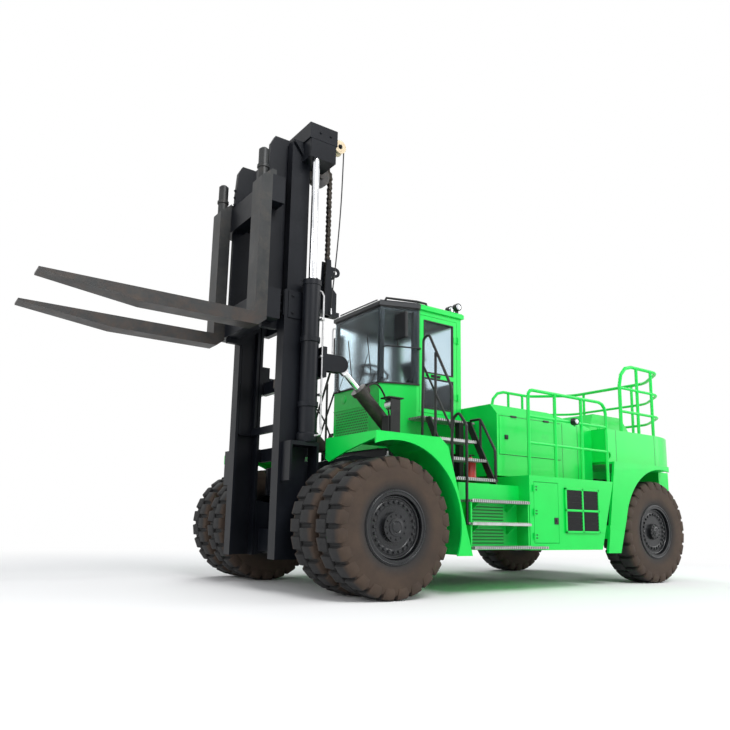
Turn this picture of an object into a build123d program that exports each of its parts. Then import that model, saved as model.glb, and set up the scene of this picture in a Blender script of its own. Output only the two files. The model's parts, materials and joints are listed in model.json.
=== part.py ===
"""Heavy electric forklift: a counterbalanced truck on twin front tyres, with a two-stage mast.

Frame: +X forward, +Y to the driver's left, +Z up, millimetres.
The origin is on the ground, midway between the fork tips and the rear of the counterweight.
Stations along X are given as distances ahead of the front axle line.
"""
import math
import os

from build123d import *

os.makedirs("parts", exist_ok=True)

# Reach and wheelbase
fork_reach = 3780
rear_reach = 7100
wheelbase = 5620
front_x = (rear_reach - fork_reach) / 2
rear_x = front_x - wheelbase

# Running clearances
shaft_gap = 0.05
slide_gap = 10

# Tyres and wheels
tyre_radius = 820
tyre_width = 500
bead_radius = 400
twin_gap = 86
front_outer_face = 2110
rear_outer_face = 1757
axle_z = tyre_radius
front_outer_y = front_outer_face - tyre_width / 2
front_inner_y = front_outer_y - tyre_width - twin_gap
rear_wheel_y = rear_outer_face - tyre_width / 2
rim_fit = 0.3
rim_wall = 28
flange_radius = 430
flange_width = 24

# Axles and steering
axle_tube_radius = 280
journal_radius = 240
journal_in = 555
journal_out = 772
spindle_radius = 120
kingpin_y = 1150
kingpin_radius = 55
knuckle_radius = 110
knuckle_half = 155
yoke_gap = 5
yoke_thick = 80
yoke_radius = 120
rear_spindle_radius = 90

# Frame
frame_half = 700
frame_wall = 60
frame_bottom = 600
frame_top = 1500
frame_front = 280
frame_rear = -4500
saddle_z = (1230, 1290)
neck_half = 380
neck_bottom = 1150
neck_top = 1750

# Body panels
skin = 30
body_half = 1500
body_front = -2230
body_rear = -4350
body_bottom = 1560
body_top = 2600
fender_top = 1905
fender_face = 2120
fender_inner = 1030
arch_radius = 975

# Side boxes
box_face = 2055
box_front = -2260
box_rear_top = -4080
box_rear_bottom = -3780
box_bottom = 550
box_top = 1540
step_box_front = -1160
step_box_face = 1860
step_box_top = 1400
louvre_fields = (645, 940)
louvre_pitch = 42

# Counterweight
weight_half = 1760
weight_bottom = 1880
weight_top = 2400

# Cab
cab_front = -800
cab_corner = -1330
cab_rear = -2200
cab_front_half = 600
cab_half = 790
cab_wall = 50
cab_base = 1905
cab_floor = 2400
cab_top = 4000
roof_thick = 85
door_front = -1390
door_rear = -2110
door_bottom = 2465
door_top = 3925
door_gap = 6
window_z = (2870, 3945)
lower_pane = (2525, 2990)
upper_pane = (3060, 3860)
hinge_out = 18

# Mast
rail_back = 470
rail_front = 850
rail_in = 575
rail_out = 760
web = 35
flange = 40
outer_bottom = 400
outer_top = 3850
inner_bottom = 2070
inner_top = 6000
beam_top = 6215
beam_back = 230
beam_front = 665
beam_half = 945
inner_web = 45
inner_flange = 40
lower_travel = 1620

# Carriage and forks
plate_in = 490
plate_out = 560
roller_x = 660
roller_radius = 99.5
shank_back = 1115
fork_thick = 165
fork_in = 527
fork_width = 262
fork_top = 3457
shank_top = 5300
carriage_bottom = 3350

# Lift cylinders
lift_x = 525
lift_y = 885
lift_radius = 115
lift_rod = 50
lift_base = 1850
lift_barrel_top = 3990
push_z = 5720

# Tilt cylinders
tilt_y = 955
tilt_mast = (120, 2900)
tilt_frame = (-950, 1920)
tilt_radius = 95
tilt_rod = 42
tilt_eye_half = 25
tilt_neck = 145
tilt_ear_in = 60
ear_thick = 30
pin_radius = 40
open_pin_gap = 18


def at(station):
    """X of a station that lies this far ahead of the front axle line."""
    return front_x + station


def side_plane(y):
    """Sketch plane across the truck at y; a positive extrude goes towards -Y."""
    return Plane.XZ.offset(-y)


def wheel_plane(x, y):
    """Plane through a wheel's axis: local x runs outwards along +Y, local y is the radius."""
    return Plane(origin=(x, y, axle_z), x_dir=(0, 1, 0), z_dir=(1, 0, 0))


def block(x_span, y_span, z_span, mode=Mode.ADD):
    """A box between named limits, with X as stations ahead of the front axle."""
    size = [high - low for low, high in (x_span, y_span, z_span)]
    centre = [(low + high) / 2 for low, high in (x_span, y_span, z_span)]
    with Locations((at(centre[0]), centre[1], centre[2])):
        Box(*size, mode=mode)


def bar_y(x, z, y_span, radius, mode=Mode.ADD):
    """A round bar along Y at a station and a height."""
    middle = (y_span[0] + y_span[1]) / 2
    with Locations((at(x), middle, z)):
        Cylinder(radius, y_span[1] - y_span[0], rotation=(90, 0, 0), mode=mode)


def bar_z(x, y, z_span, radius, mode=Mode.ADD):
    """A round bar along Z."""
    with Locations((at(x), y, (z_span[0] + z_span[1]) / 2)):
        Cylinder(radius, z_span[1] - z_span[0], mode=mode)


def rounded(points, bends, chords):
    """Replace each inner corner of a route by a few chords of its bend."""
    stops = [points[0]]
    for corner, before, after, bend in zip(points[1:-1], points, points[2:], bends):
        back = (before - corner).normalized()
        ahead = (after - corner).normalized()
        half_angle = math.radians(back.get_angle(ahead)) / 2
        start = corner + back * (bend / math.tan(half_angle))
        centre = corner + (back + ahead).normalized() * (bend / math.sin(half_angle))
        swing = math.pi - 2 * half_angle
        for step in range(chords + 1):
            turn = swing * step / chords
            stops.append(centre + (start - centre) * math.cos(turn) - back * (bend * math.sin(turn)))
    return stops + [points[-1]]


def tube(points, radius, bends=(), chords=3, sides=8):
    """A bent tube through stations, with one bend radius for each inner corner."""
    route = [Vector(at(x), y, z) for x, y, z in points]
    stops = rounded(route, bends, chords)
    with BuildLine() as path:
        Polyline(*stops)
    with BuildSketch(Plane(origin=stops[0], z_dir=stops[1] - stops[0])) as section:
        RegularPolygon(radius, sides)
    sweep(section.sketch, path=path.line, transition=Transition.RIGHT)


def post(x, y, z_span, radius, sides=8):
    """An upright tube with a few flat sides."""
    tube([(x, y, z_span[0]), (x, y, z_span[1])], radius, sides=sides)


def save(part, name):
    part.label = name
    export_step(part, f"parts/{name}.step")


def save_pair(part, name):
    """Write a left-hand piece and its mirror image."""
    save(part, f"left_{name}")
    save(mirror(part, about=Plane.XZ), f"right_{name}")


# Tyres: flat-sided rings with a row of lugs on each shoulder, half a pitch apart
lug_count = 24
pitch = 2 * math.pi / lug_count
groove_radius = 772
lug_half = 70
lug_top = (tyre_radius - lug_half * math.sin(pitch / 2)) / math.cos(pitch / 2)
lug_root = groove_radius - 8
bead_half = tyre_width / 2 - 45
# columns: half width, radius
full_carcass = [(bead_half, bead_radius), (bead_half, flange_radius + 5), (tyre_width / 2, 630), (243, groove_radius)]
plain_carcass = [(bead_half, bead_radius), (bead_half, flange_radius + 5), (tyre_width / 2, groove_radius)]
# columns: inner edge, outer edge on top, outer edge at the root, phase in pitches
shoulder_rows = [(22, 205, 236, 0.5), (-22, -205, -236, 1.0)]
plain_rows = [(-205, 205, 236, 0.5)]


def spoke_plane(x, y, angle):
    """Plane through the axle at an angle: local x is along +Y and local y is the radius."""
    return Plane(origin=(x, y, axle_z), x_dir=(0, 1, 0), z_dir=(math.sin(angle), 0, -math.cos(angle)))


def tyre(x, y, shape, rows):
    flats = [(x + groove_radius * math.cos(a), y, axle_z + groove_radius * math.sin(a))
             for a in [pitch * k for k in range(lug_count)]]
    corner_radius = groove_radius / math.cos(pitch / 2)
    corners = [(x + corner_radius * math.cos(a), y, axle_z + corner_radius * math.sin(a))
               for a in [pitch * (k + 0.5) for k in range(lug_count)]]
    with BuildPart() as ring:
        with BuildLine() as path:
            Polyline(flats[0], *corners, flats[0])
        with BuildSketch(spoke_plane(x, y, 0)) as section:
            Polygon(*shape, *[(-w, radius) for w, radius in reversed(shape)], align=None)
        sweep(section.sketch, path=path.line, transition=Transition.RIGHT)
        for near, far, root, phase in rows:
            base = near if near * far > 0 else -root
            for k in range(lug_count):
                with BuildSketch(spoke_plane(x, y, pitch * (k + phase) - math.pi / 2)):
                    Polygon((base, lug_root), (near, lug_top), (far, lug_top), (root, lug_root), align=None)
        extrude(amount=lug_half, both=True)
    return ring.part


save_pair(tyre(front_x, front_outer_y, full_carcass, shoulder_rows), "front_outer_tyre")
save_pair(tyre(front_x, front_inner_y, plain_carcass, plain_rows), "front_inner_tyre")
save_pair(tyre(rear_x, rear_wheel_y, full_carcass, shoulder_rows), "rear_tyre")


# Wheels: barrel with flanges, a disc and a hub that turns on its spindle
def wheel(x, centres, hub_span, disc_y, disc_thick, hub_radius, cap_span, cap_radius, bore):
    """One rim body under one or two tyres."""
    inner_edge = centres[0] - tyre_width / 2 + 20
    outer_edge = centres[-1] + tyre_width / 2 - 20
    axis = Axis((x, 0, axle_z), (0, 1, 0))
    ring_out = bead_radius - rim_fit
    with BuildPart() as rim:
        with BuildSketch(wheel_plane(x, 0)):
            with Locations(((inner_edge + outer_edge) / 2, ring_out - rim_wall / 2)):
                Rectangle(outer_edge - inner_edge, rim_wall)
            for centre in centres:
                for side in (-1, 1):
                    seat = centre + side * (tyre_width / 2 - 45)
                    with Locations((seat + side * (rim_fit + flange_width / 2), (flange_radius + ring_out) / 2)):
                        Rectangle(flange_width, flange_radius - ring_out + 4)
            with Locations((disc_y + disc_thick / 2, (ring_out - rim_wall / 2 + bore) / 2)):
                Rectangle(disc_thick, ring_out - rim_wall / 2 - bore)
            with Locations(((hub_span[0] + hub_span[1]) / 2, (hub_radius + bore) / 2)):
                Rectangle(hub_span[1] - hub_span[0], hub_radius - bore)
            with Locations(((cap_span[0] + cap_span[1]) / 2, cap_radius / 2)):
                Rectangle(cap_span[1] - cap_span[0], cap_radius)
        revolve(axis=axis)
    return rim.part


front_hub_in = front_inner_y - tyre_width / 2 + 10
spindle_end = 1600
front_rim = wheel(
    front_x, (front_inner_y, front_outer_y), (front_hub_in, spindle_end + 40), 1990, 45, 250,
    (spindle_end + slide_gap, front_outer_face - 25), 170, spindle_radius + shaft_gap,
)
save_pair(front_rim, "front_rims")

rear_spindle_end = 1560
rear_rim = wheel(
    rear_x, (rear_wheel_y,), (1330, rear_spindle_end + 40), 1640, 40, 190,
    (rear_spindle_end + slide_gap, rear_outer_face - 30), 130, rear_spindle_radius + shaft_gap,
)
save_pair(rear_rim, "rear_rim")

# Drive axle: housing, journals that carry the mast feet, and spindles for the wheels
with BuildPart() as drive_axle:
    bar_y(0, axle_z, (-journal_in, journal_in), axle_tube_radius)
    bar_y(0, axle_z, (-journal_out, journal_out), journal_radius)
    bar_y(0, axle_z, (-front_hub_in + slide_gap, front_hub_in - slide_gap), 190)
    bar_y(0, axle_z, (-spindle_end, spindle_end), spindle_radius)
    for half, radius in ((200, 300), (120, 330)):
        bar_y(0, axle_z, (-half, half), radius)
    for side in (-1, 1):
        pad = sorted((side * 300, side * (journal_in - slide_gap)))
        block((-200, 200), pad, (axle_z, saddle_z[0]))
save(drive_axle.part, "drive_axle")

# Steer axle: a box beam with a yoke round each kingpin
knuckle_low = axle_z - knuckle_half
knuckle_high = axle_z + knuckle_half
yoke_low = knuckle_low - yoke_gap
yoke_high = knuckle_high + yoke_gap
beam_end = kingpin_y - knuckle_radius - 20
with BuildPart() as steer_axle:
    block((-wheelbase - 160, -wheelbase + 160), (-beam_end, beam_end), (knuckle_low, knuckle_high))
    block((-wheelbase - 220, -wheelbase + 220), (-300, 300), (knuckle_high, neck_bottom))
    for side in (-1, 1):
        for low, high in ((yoke_low - yoke_thick, yoke_low), (yoke_high, yoke_high + yoke_thick)):
            arm = sorted((side * (beam_end - 260), side * kingpin_y))
            block((-wheelbase - yoke_radius, -wheelbase + yoke_radius), arm, (low, high))
            bar_z(-wheelbase, side * kingpin_y, (low, high), yoke_radius)
        web_y = sorted((side * (beam_end - 260), side * beam_end))
        block((-wheelbase - yoke_radius, -wheelbase + yoke_radius), web_y,
              (yoke_low - yoke_thick, yoke_high + yoke_thick))
        bar_z(-wheelbase, side * kingpin_y, (yoke_low - yoke_thick, yoke_high + yoke_thick),
              kingpin_radius + shaft_gap, Mode.SUBTRACT)
save(steer_axle.part, "steer_axle")

with BuildPart() as knuckle:
    bar_z(-wheelbase, kingpin_y, (yoke_low - yoke_thick, yoke_high + yoke_thick), kingpin_radius)
    bar_z(-wheelbase, kingpin_y, (knuckle_low, knuckle_high), knuckle_radius)
    bar_y(-wheelbase, axle_z, (kingpin_y, 1300), 140)
    bar_y(-wheelbase, axle_z, (kingpin_y, rear_spindle_end), rear_spindle_radius)
save_pair(knuckle.part, "knuckle")

# Frame: two deep side members joined by decks, with a narrow neck over the steer axle
with BuildPart() as frame:
    for side in (-1, 1):
        outer = frame_half if side > 0 else frame_wall - frame_half
        with BuildSketch(side_plane(outer)):
            Polygon(
                (at(frame_front), saddle_z[0]), (at(frame_front), 1620), (at(-300), 1760), (at(-1250), 1760),
                (at(-1500), frame_top), (at(frame_rear), frame_top), (at(frame_rear), frame_bottom + 150),
                (at(frame_rear + 200), frame_bottom), (at(-900), frame_bottom), (at(-400), saddle_z[0]),
                align=None,
            )
        extrude(amount=frame_wall)
    inner = frame_half - frame_wall
    block((frame_rear, -450), (-inner, inner), (frame_top - 50, frame_top))
    block((frame_rear + 200, -900), (-inner, inner), (frame_bottom, frame_bottom + 40))
    block((-500, -450), (-inner, inner), (1140, frame_top))
    block((-400, 250), (-inner, inner), saddle_z)
    block((frame_rear, frame_rear + 60), (-inner, inner), (frame_bottom + 150, frame_top))
    block((-6650, frame_rear), (-neck_half, neck_half), (neck_bottom, neck_top))
    block((cab_rear, -860), (-frame_half, frame_half), (frame_top, cab_base))
    for side in (-1, 1):
        ears = ((tilt_y - tilt_ear_in, tilt_y - tilt_ear_in + ear_thick),
                (tilt_y + tilt_ear_in - ear_thick, tilt_y + tilt_ear_in))
        seat = sorted((side * frame_half, side * (tilt_y + tilt_ear_in)))
        block((tilt_frame[0] - 230, tilt_frame[0] + 150), seat, (1450, 1740))
        for low, high in ears:
            span = sorted((side * low, side * high))
            block((tilt_frame[0] - 110, tilt_frame[0] + 110), span, (1740, tilt_frame[1]))
            bar_y(tilt_frame[0], tilt_frame[1], span, 110)
        bar_y(tilt_frame[0], tilt_frame[1],
              sorted((side * ears[0][0], side * ears[1][1])), pin_radius)
save(frame.part, "frame")

# Front fenders: a top and a sloping back over the twin tyres, with an outer skirt cut round the arch
fender_apron = ((fender_inner, fender_top), (fender_face, fender_top), (fender_face, 1830),
                (1500, 1710), (1110, 1605), (fender_inner, 1650))
with BuildPart() as fender:
    with BuildSketch(side_plane(fender_face)):
        with BuildLine():
            Polyline((at(330), 1760), (at(330), fender_top), (at(-630), fender_top),
                     (at(-760), 1800), (at(-1157), 490), (at(-910), 490))
            RadiusArc((at(-910), 490), (at(330), 1760), arch_radius)
        make_face()
    extrude(amount=25)
    with BuildSketch(side_plane(fender_face)):
        with BuildLine():
            Polyline((at(330), 1830), (at(330), fender_top), (at(-630), fender_top), (at(-760), 1800),
                     (at(-1157), 490), (at(-1127), 490), (at(-733), 1786), (at(-617), 1875),
                     (at(300), 1875), (at(300), 1830), (at(330), 1830))
        make_face()
    extrude(amount=fender_face - fender_inner)
    with BuildSketch(Plane.YZ.offset(at(330) - 30)):
        Polygon(*fender_apron, align=None)
    extrude(amount=30)
    block((-1125, -1095), (frame_half, fender_inner + 60), (620, 950))
save_pair(fender.part, "front_fender")

# Side boxes: a low step box ahead of a taller equipment box, one sheet-metal piece
with BuildPart() as side_box:
    block((box_front, step_box_front), (frame_half, step_box_face), (box_bottom, step_box_top))
    with BuildSketch(side_plane(box_face)):
        Polygon((at(box_front), box_bottom), (at(box_front), box_top), (at(box_rear_top), box_top),
                (at(box_rear_bottom), box_bottom), align=None)
    extrude(amount=box_face - frame_half)
    with BuildSketch(side_plane(box_face - skin)):
        Polygon((at(box_front - skin), box_bottom + skin), (at(box_front - skin), box_top - skin),
                (at(box_rear_top + 1.2 * skin), box_top - skin),
                (at(box_rear_bottom + 0.8 * skin), box_bottom + skin), align=None)
    extrude(amount=box_face - frame_half - 2 * skin, mode=Mode.SUBTRACT)
    block((-2840, -2340), (box_face - 2 * skin, box_face + 1), (640, 1460), Mode.SUBTRACT)
    for field in louvre_fields:
        for step in range(5):
            low = field + step * louvre_pitch
            block((-1960, -1290), (step_box_face, step_box_face + 14), (low, low + 18))
save_pair(side_box.part, "side_box")

with BuildPart() as box_door:
    block((-2834, -2346), (box_face - skin, box_face), (646, 1454))
    for z in (730, 1050, 1370):
        bar_z(-2332, box_face + 14, (z - 45, z + 45), 13)
        block((-2400, -2332), (box_face, box_face + 6), (z - 40, z + 40))
save_pair(box_door.part, "box_door")

# Battery housing behind the cab: chamfered shoulders, falling away towards the rear
with BuildPart() as housing:
    with BuildSketch(Plane.YZ.offset(at(body_front))):
        Polygon((-body_half, body_bottom), (body_half, body_bottom), (body_half, body_top - 150),
                (body_half - 130, body_top), (130 - body_half, body_top), (-body_half, body_top - 150),
                align=None)
    extrude(amount=body_rear - body_front)
    with BuildSketch(side_plane(body_half + 10)):
        Polygon((at(-3450), body_top + 1), (at(body_rear) - 1, body_top - 190), (at(body_rear) - 1, body_top + 1),
                align=None)
    extrude(amount=2 * body_half + 20, mode=Mode.SUBTRACT)
    block((frame_rear, body_front), (-frame_half, frame_half), (frame_top, body_bottom))
    block((-3590, -2275), (-body_half - 8, body_half + 8), (1870, 2420))
save(housing.part, "battery_housing")

# Counterweight: rounded at the rear, with a raised crown and a tail between the rear tyres
with BuildPart() as counterweight:
    with BuildSketch(Plane.XY.offset(weight_bottom)):
        with BuildLine():
            Polyline((at(-5700), weight_half), (at(body_rear), weight_half), (at(body_rear), -weight_half),
                     (at(-5700), -weight_half))
            ThreePointArc((at(-5700), -weight_half), (at(-6480), -1460), (at(-6960), -800))
            ThreePointArc((at(-6960), -800), (at(-rear_reach), 0), (at(-6960), 800))
            ThreePointArc((at(-6960), 800), (at(-6480), 1460), (at(-5700), weight_half))
        make_face()
    extrude(amount=weight_top - weight_bottom)
    with BuildSketch(side_plane(1000)):
        Polygon((at(-4900), weight_top), (at(-5080), 2800), (at(-5850), 2800), (at(-6050), 2600),
                (at(-6150), weight_top), align=None)
    extrude(amount=2000)
    block((-7000, -6700), (-1150, 1150), (800, weight_bottom))
    block((-6700, frame_rear), (-neck_half, neck_half), (neck_top, weight_bottom))
    for side in (-1, 1):
        bar_y(-4420, 1985, sorted((side * (weight_half - 60), side * (weight_half + 1))), 50, Mode.SUBTRACT)
save(counterweight.part, "counterweight")

# Rear arch panels between the side boxes and the counterweight
with BuildPart() as rear_arch:
    with BuildSketch(side_plane(1880)):
        with BuildLine():
            Polyline((at(-4640), 1019), (at(-4460), 490), (at(-4160), 490), (at(-4390), weight_bottom),
                     (at(-5850), weight_bottom), (at(-5850), 1793))
            ThreePointArc((at(-5850), 1793), (at(-4913), 1527), (at(-4640), 1019))
        make_face()
    extrude(amount=40)
    block((-5830, -4420), (1450, 1860), (weight_bottom - 30, weight_bottom))
    block((-4270, -4215), (frame_half, 1880), (700, 900))
save_pair(rear_arch.part, "rear_arch")

# Cab: one welded shell with its windows and doorways cut
cab_plan = [(cab_front, cab_front_half), (cab_corner, cab_half), (cab_rear, cab_half),
            (cab_rear, -cab_half), (cab_corner, -cab_half), (cab_front, -cab_front_half)]
with BuildPart() as cab:
    with BuildSketch(Plane.XY.offset(cab_base)) as outline:
        Polygon(*[(at(x), y) for x, y in cab_plan], align=None)
    extrude(amount=cab_top - cab_base)
    with BuildSketch(Plane.XY.offset(cab_base)):
        add(outline.sketch)
        offset(amount=-cab_wall, kind=Kind.INTERSECTION, mode=Mode.REPLACE)
    extrude(amount=cab_top - cab_base, mode=Mode.SUBTRACT)
    with BuildSketch(Plane.XY.offset(cab_floor - cab_wall)):
        Polygon(*[(at(x), y) for x, y in cab_plan], align=None)
    extrude(amount=cab_wall)
    block((cab_front - 100, cab_front + 100), (55 - cab_front_half, cab_front_half - 55), window_z,
          Mode.SUBTRACT)
    block((cab_rear - 100, cab_rear + 100), (110 - cab_half, cab_half - 110), (3000, 3900), Mode.SUBTRACT)
    for side in (-1, 1):
        span = sorted((side * (cab_half - 120), side * (cab_half + 20)))
        block((door_rear - door_gap, door_front + door_gap), span,
              (door_bottom - door_gap, door_top + door_gap), Mode.SUBTRACT)
        with BuildSketch(side_plane(cab_half + 20 if side > 0 else 40 - cab_front_half)):
            Polygon((at(cab_front - 60), window_z[0]), (at(cab_corner + 50), window_z[0]),
                    (at(cab_corner + 50), window_z[1]), (at(cab_front - 60), window_z[1]), align=None)
        extrude(amount=cab_half - cab_front_half + 60, mode=Mode.SUBTRACT)
save(cab.part, "cab_shell")

with BuildPart() as roof:
    with BuildSketch(Plane.XY.offset(cab_top)):
        Polygon(*[(at(x), y) for x, y in cab_plan], align=None)
        offset(amount=35, kind=Kind.INTERSECTION, mode=Mode.REPLACE)
    extrude(amount=roof_thick)
    chamfer(roof.faces().sort_by(Axis.Z)[-1].edges(), 25)
save(roof.part, "cab_roof")


# Cab doors: a frame with two panes, hinged on the rear post
with BuildPart() as door:
    block((door_rear, door_front), (cab_half - 45, cab_half), (door_bottom, door_top))
    block((door_rear + 70, door_front - 70), (cab_half - 60, cab_half + 10), upper_pane, Mode.SUBTRACT)
    block((door_rear + 70, door_front - 70), (cab_half - 60, cab_half + 10), lower_pane, Mode.SUBTRACT)
    for z in (2750, 3640):
        bar_z(door_rear - 14, cab_half + hinge_out, (z - 50, z + 50), 14)
        block((door_rear - 14, door_rear + 60), (cab_half, cab_half + 8), (z - 40, z + 40))
save_pair(door.part, "cab_door")

with BuildPart() as door_glass:
    block((door_rear + 70, door_front - 70), (cab_half - 30, cab_half - 20), upper_pane)
    block((door_rear + 70, door_front - 70), (cab_half - 30, cab_half - 20), lower_pane)
save_pair(door_glass.part, "door_glass")

with BuildPart() as cab_glass:
    block((cab_front - 30, cab_front - 18), (55 - cab_front_half, cab_front_half - 55), window_z)
    corner_slope = (cab_half - cab_front_half) / (cab_front - cab_corner)
    for side in (-1, 1):
        with BuildSketch(Plane.XY.offset(window_z[0])):
            Polygon(*[(at(x), side * (cab_front_half + (cab_front - x) * corner_slope - inset))
                      for x, inset in ((cab_front - 60, 20), (cab_corner + 50, 20),
                                       (cab_corner + 50, 32), (cab_front - 60, 32))], align=None)
        extrude(amount=window_z[1] - window_z[0])
    block((cab_rear + 18, cab_rear + 30), (110 - cab_half, cab_half - 110), (3000, 3900))
save(cab_glass.part, "cab_glass")

with BuildPart() as seat:
    block((-1900, -1500), (-230, 230), (cab_floor, 2750))
    block((-1920, -1440), (-260, 260), (2750, 2880))
    with BuildSketch(side_plane(250)):
        Polygon((at(-1880), 2880), (at(-2060), 3560), (at(-1960), 3580), (at(-1770), 2880), align=None)
    extrude(amount=500)
save(seat.part, "driver_seat")

with BuildPart() as console:
    block((-1100, cab_front - cab_wall), (-350, 350), (cab_floor, 2900))
    with BuildSketch(side_plane(45)):
        Polygon((at(-1060), 2880), (at(-1180), 3120), (at(-1130), 3145), (at(-1010), 2900), align=None)
    extrude(amount=90)
    with Locations(Location((at(-1160), 0, 3145), (0, -26, 0))):
        Cylinder(30, 30)
        Box(400, 34, 16)
        Box(34, 400, 16)
    with BuildSketch(Plane(Location((at(-1160), 0, 3145), (0, -26, 0)))):
        RegularPolygon(214, 16)
        RegularPolygon(186, 16, mode=Mode.SUBTRACT)
    extrude(amount=14, both=True)
save(console.part, "steering_console")


# Steps: a lower flight on the outside and an upper flight that climbs in to the door
# columns: tread top, outer edge, inner edge, front station, rear station
step_front = -1180
stair_rear = -1900
treads = [
    (600, 2120, 1860, step_front, -2240),
    (895, 2100, 1860, step_front, -2240),
    (1180, 2080, 1860, step_front, -2240),
    (1470, 1790, 1500, step_front, stair_rear),
    (1745, 1620, 1330, step_front, stair_rear),
    (2020, 1430, 1140, step_front, stair_rear),
    (2350, 1100, 790, step_front, -2180),
]
tread_thick = 32
seat_gap = 0.3
with BuildPart() as steps:
    for top, outer, inner_edge, ahead, behind in treads:
        block((behind, ahead), (inner_edge, outer), (top - tread_thick, top))
    block((-2550, -2230), (box_face + 3, 2120), (600 - tread_thick, 600))
    for x in (step_front - 12, -2228):
        block((x - 12, x + 12), (step_box_face, 2060), (600 - tread_thick, 1180))
save_pair(steps.part, "steps")

# Stair rails: bent tube in two upright planes, ahead of the stair and behind it
stair_tube = 19
stair_x = step_front + 20
with BuildPart() as stair_rails:
    for x in (step_front + seat_gap, stair_rear - seat_gap - 24):
        with BuildSketch(Plane.YZ.offset(at(x))):
            Polygon((1800, 1400), (1300, 2317), (1190, 2317), (1690, 1400), align=None)
        extrude(amount=24)
    block((-1940, -1860), (1030, 1120), (1400 + seat_gap, 2317))
    tube([(stair_x, 1130, 1990), (stair_x, 1150, 3440), (stair_x, 1270, 3475), (stair_x, 1743, 2640),
          (stair_x, 1740, 1440)], stair_tube, [60, 60, 80])
    tube([(stair_x, 1140, 3066), (stair_x, 1741, 2080)], stair_tube * 0.8)
    tube([(stair_x, 1745, 2040), (stair_x, 1775, 2240), (stair_x, 1870, 2300), (stair_x, 2015, 2120),
          (stair_x, 2015, 885)], stair_tube, [50, 50, 60])
    post(stair_x, 1410, (2005, 3190), stair_tube)
    for y, z in ((1130, 2005), (1410, 2005), (1740, 1455), (2015, 880)):
        block((step_front + seat_gap, step_front + 35), (y - 20, y + 20), (z - 15, z + 15))
    tube([(-1920, 1290, 2330), (-1920, 1485, 2330), (-1920, 1765, 1870), (-1920, 1770, 1440)],
         stair_tube, [60, 120])
    post(-1920, 1485, (1745, 2330), stair_tube)
    block((-1945, stair_rear - seat_gap), (1750, 1790), (1440, 1470))
    block((-1945, stair_rear - seat_gap), (1465, 1505), (1730, 1745))
save_pair(Compound(stair_rails.part.solids()), "stair_rails")

# Guard rails on the side boxes: posts joined by a top rail with rounded ends and two lower rails
rail_y = 2010
rail_tube = 24
rail_heights = (1990, 2360, 2730)
post_stations = (-2320, -2870, -3450, -4030)
with BuildPart() as box_rail:
    tube([(post_stations[0], rail_y, box_top), (post_stations[0], rail_y, rail_heights[2]),
          (post_stations[-1], rail_y, rail_heights[2]), (post_stations[-1], rail_y, box_top)],
         rail_tube, [90, 160])
    for x in post_stations[1:3]:
        post(x, rail_y, (box_top, rail_heights[2]), rail_tube)
    for z in rail_heights[:2]:
        tube([(post_stations[0], rail_y, z), (post_stations[-1], rail_y, z)], rail_tube * 0.8)
save_pair(box_rail.part, "box_rail")

# Rear fence: three rails that follow the counterweight's edge on upright posts
fence_half = 1500
fence_front = -5150
fence_tube = 30
fence_heights = (2800, 3200, 3600)
fence_corner = (-6250, 850)
fence_rear = -6880
with BuildPart() as fence:
    for z in fence_heights:
        ends = [(fence_front, fence_half, z), (fence_corner[0], fence_half, z), (fence_rear, fence_corner[1], z),
                (fence_rear, -fence_corner[1], z), (fence_corner[0], -fence_half, z), (fence_front, -fence_half, z)]
        if z == fence_heights[-1]:
            foot = [(fence_front, fence_half, weight_top)]
            tube(foot + ends + [(fence_front, -fence_half, weight_top)], fence_tube,
                 [350, 380, 380, 380, 380, 350])
        else:
            tube(ends, fence_tube * 0.8, [380, 380, 380, 380])
    for side in (-1, 1):
        for x, y in ((-5640, fence_half), (-6060, fence_half), (fence_rear, 560)):
            post(x, side * y, (weight_top, fence_heights[-1]), fence_tube * 0.9)
save(fence.part, "rear_fence")


# Outer mast: two channels open inwards, feet on the axle journals, cross beams behind
def channel(z_span, back, ahead, inner_edge, outer_edge, web_thick, flange_thick):
    """A channel along Z that opens towards the truck's middle."""
    block((back, ahead), (inner_edge, outer_edge), z_span)
    block((back + flange_thick, ahead - flange_thick), (inner_edge - 1, outer_edge - web_thick),
          z_span, Mode.SUBTRACT)


ear_root = 345
foot_radius = 330
foot_out = 985
with BuildPart() as outer_rail:
    channel((outer_bottom, outer_top), rail_back, rail_front, rail_in, rail_out, web, flange)
with BuildPart() as mast_foot:
    with BuildSketch(side_plane(rail_out)):
        with Locations((front_x, axle_z)):
            Circle(foot_radius)
        Polygon((at(0), axle_z - foot_radius), (at(rail_back), outer_bottom), (at(rail_back), 1150),
                (at(0), 1080), align=None)
        with Locations((front_x, axle_z)):
            Circle(journal_radius + shaft_gap, mode=Mode.SUBTRACT)
    extrude(amount=rail_out - journal_in - slide_gap)
    block((400, 810), (rail_out, foot_out), (lift_base - 50, lift_base))
    for x in (400, 780):
        block((x, x + 30), (rail_out, foot_out), (1360, lift_base - 50))
    block((ear_root - 5, 400), (600, tilt_y + tilt_ear_in), (2700, 3100))
    block((395, rail_back), (600, rail_out - 10), (2700, 3100))
    for low, high in ((tilt_y - tilt_ear_in, tilt_y - tilt_ear_in + ear_thick),
                      (tilt_y + tilt_ear_in - ear_thick, tilt_y + tilt_ear_in)):
        block((tilt_mast[0], ear_root), (low, high), (tilt_mast[1] - 110, tilt_mast[1] + 110))
        bar_y(tilt_mast[0], tilt_mast[1], (low, high), 110)
    bar_y(tilt_mast[0], tilt_mast[1], (tilt_y - tilt_ear_in, tilt_y + tilt_ear_in), pin_radius)
outer_beams = ((450, 760), (1700, 1880), (2680, 2860), (3560, 3780))
beam_x = (345, 425)
chain_x = 66
chain_y = 495
chain_half = 35
arm_z = (3690, 3750)
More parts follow.
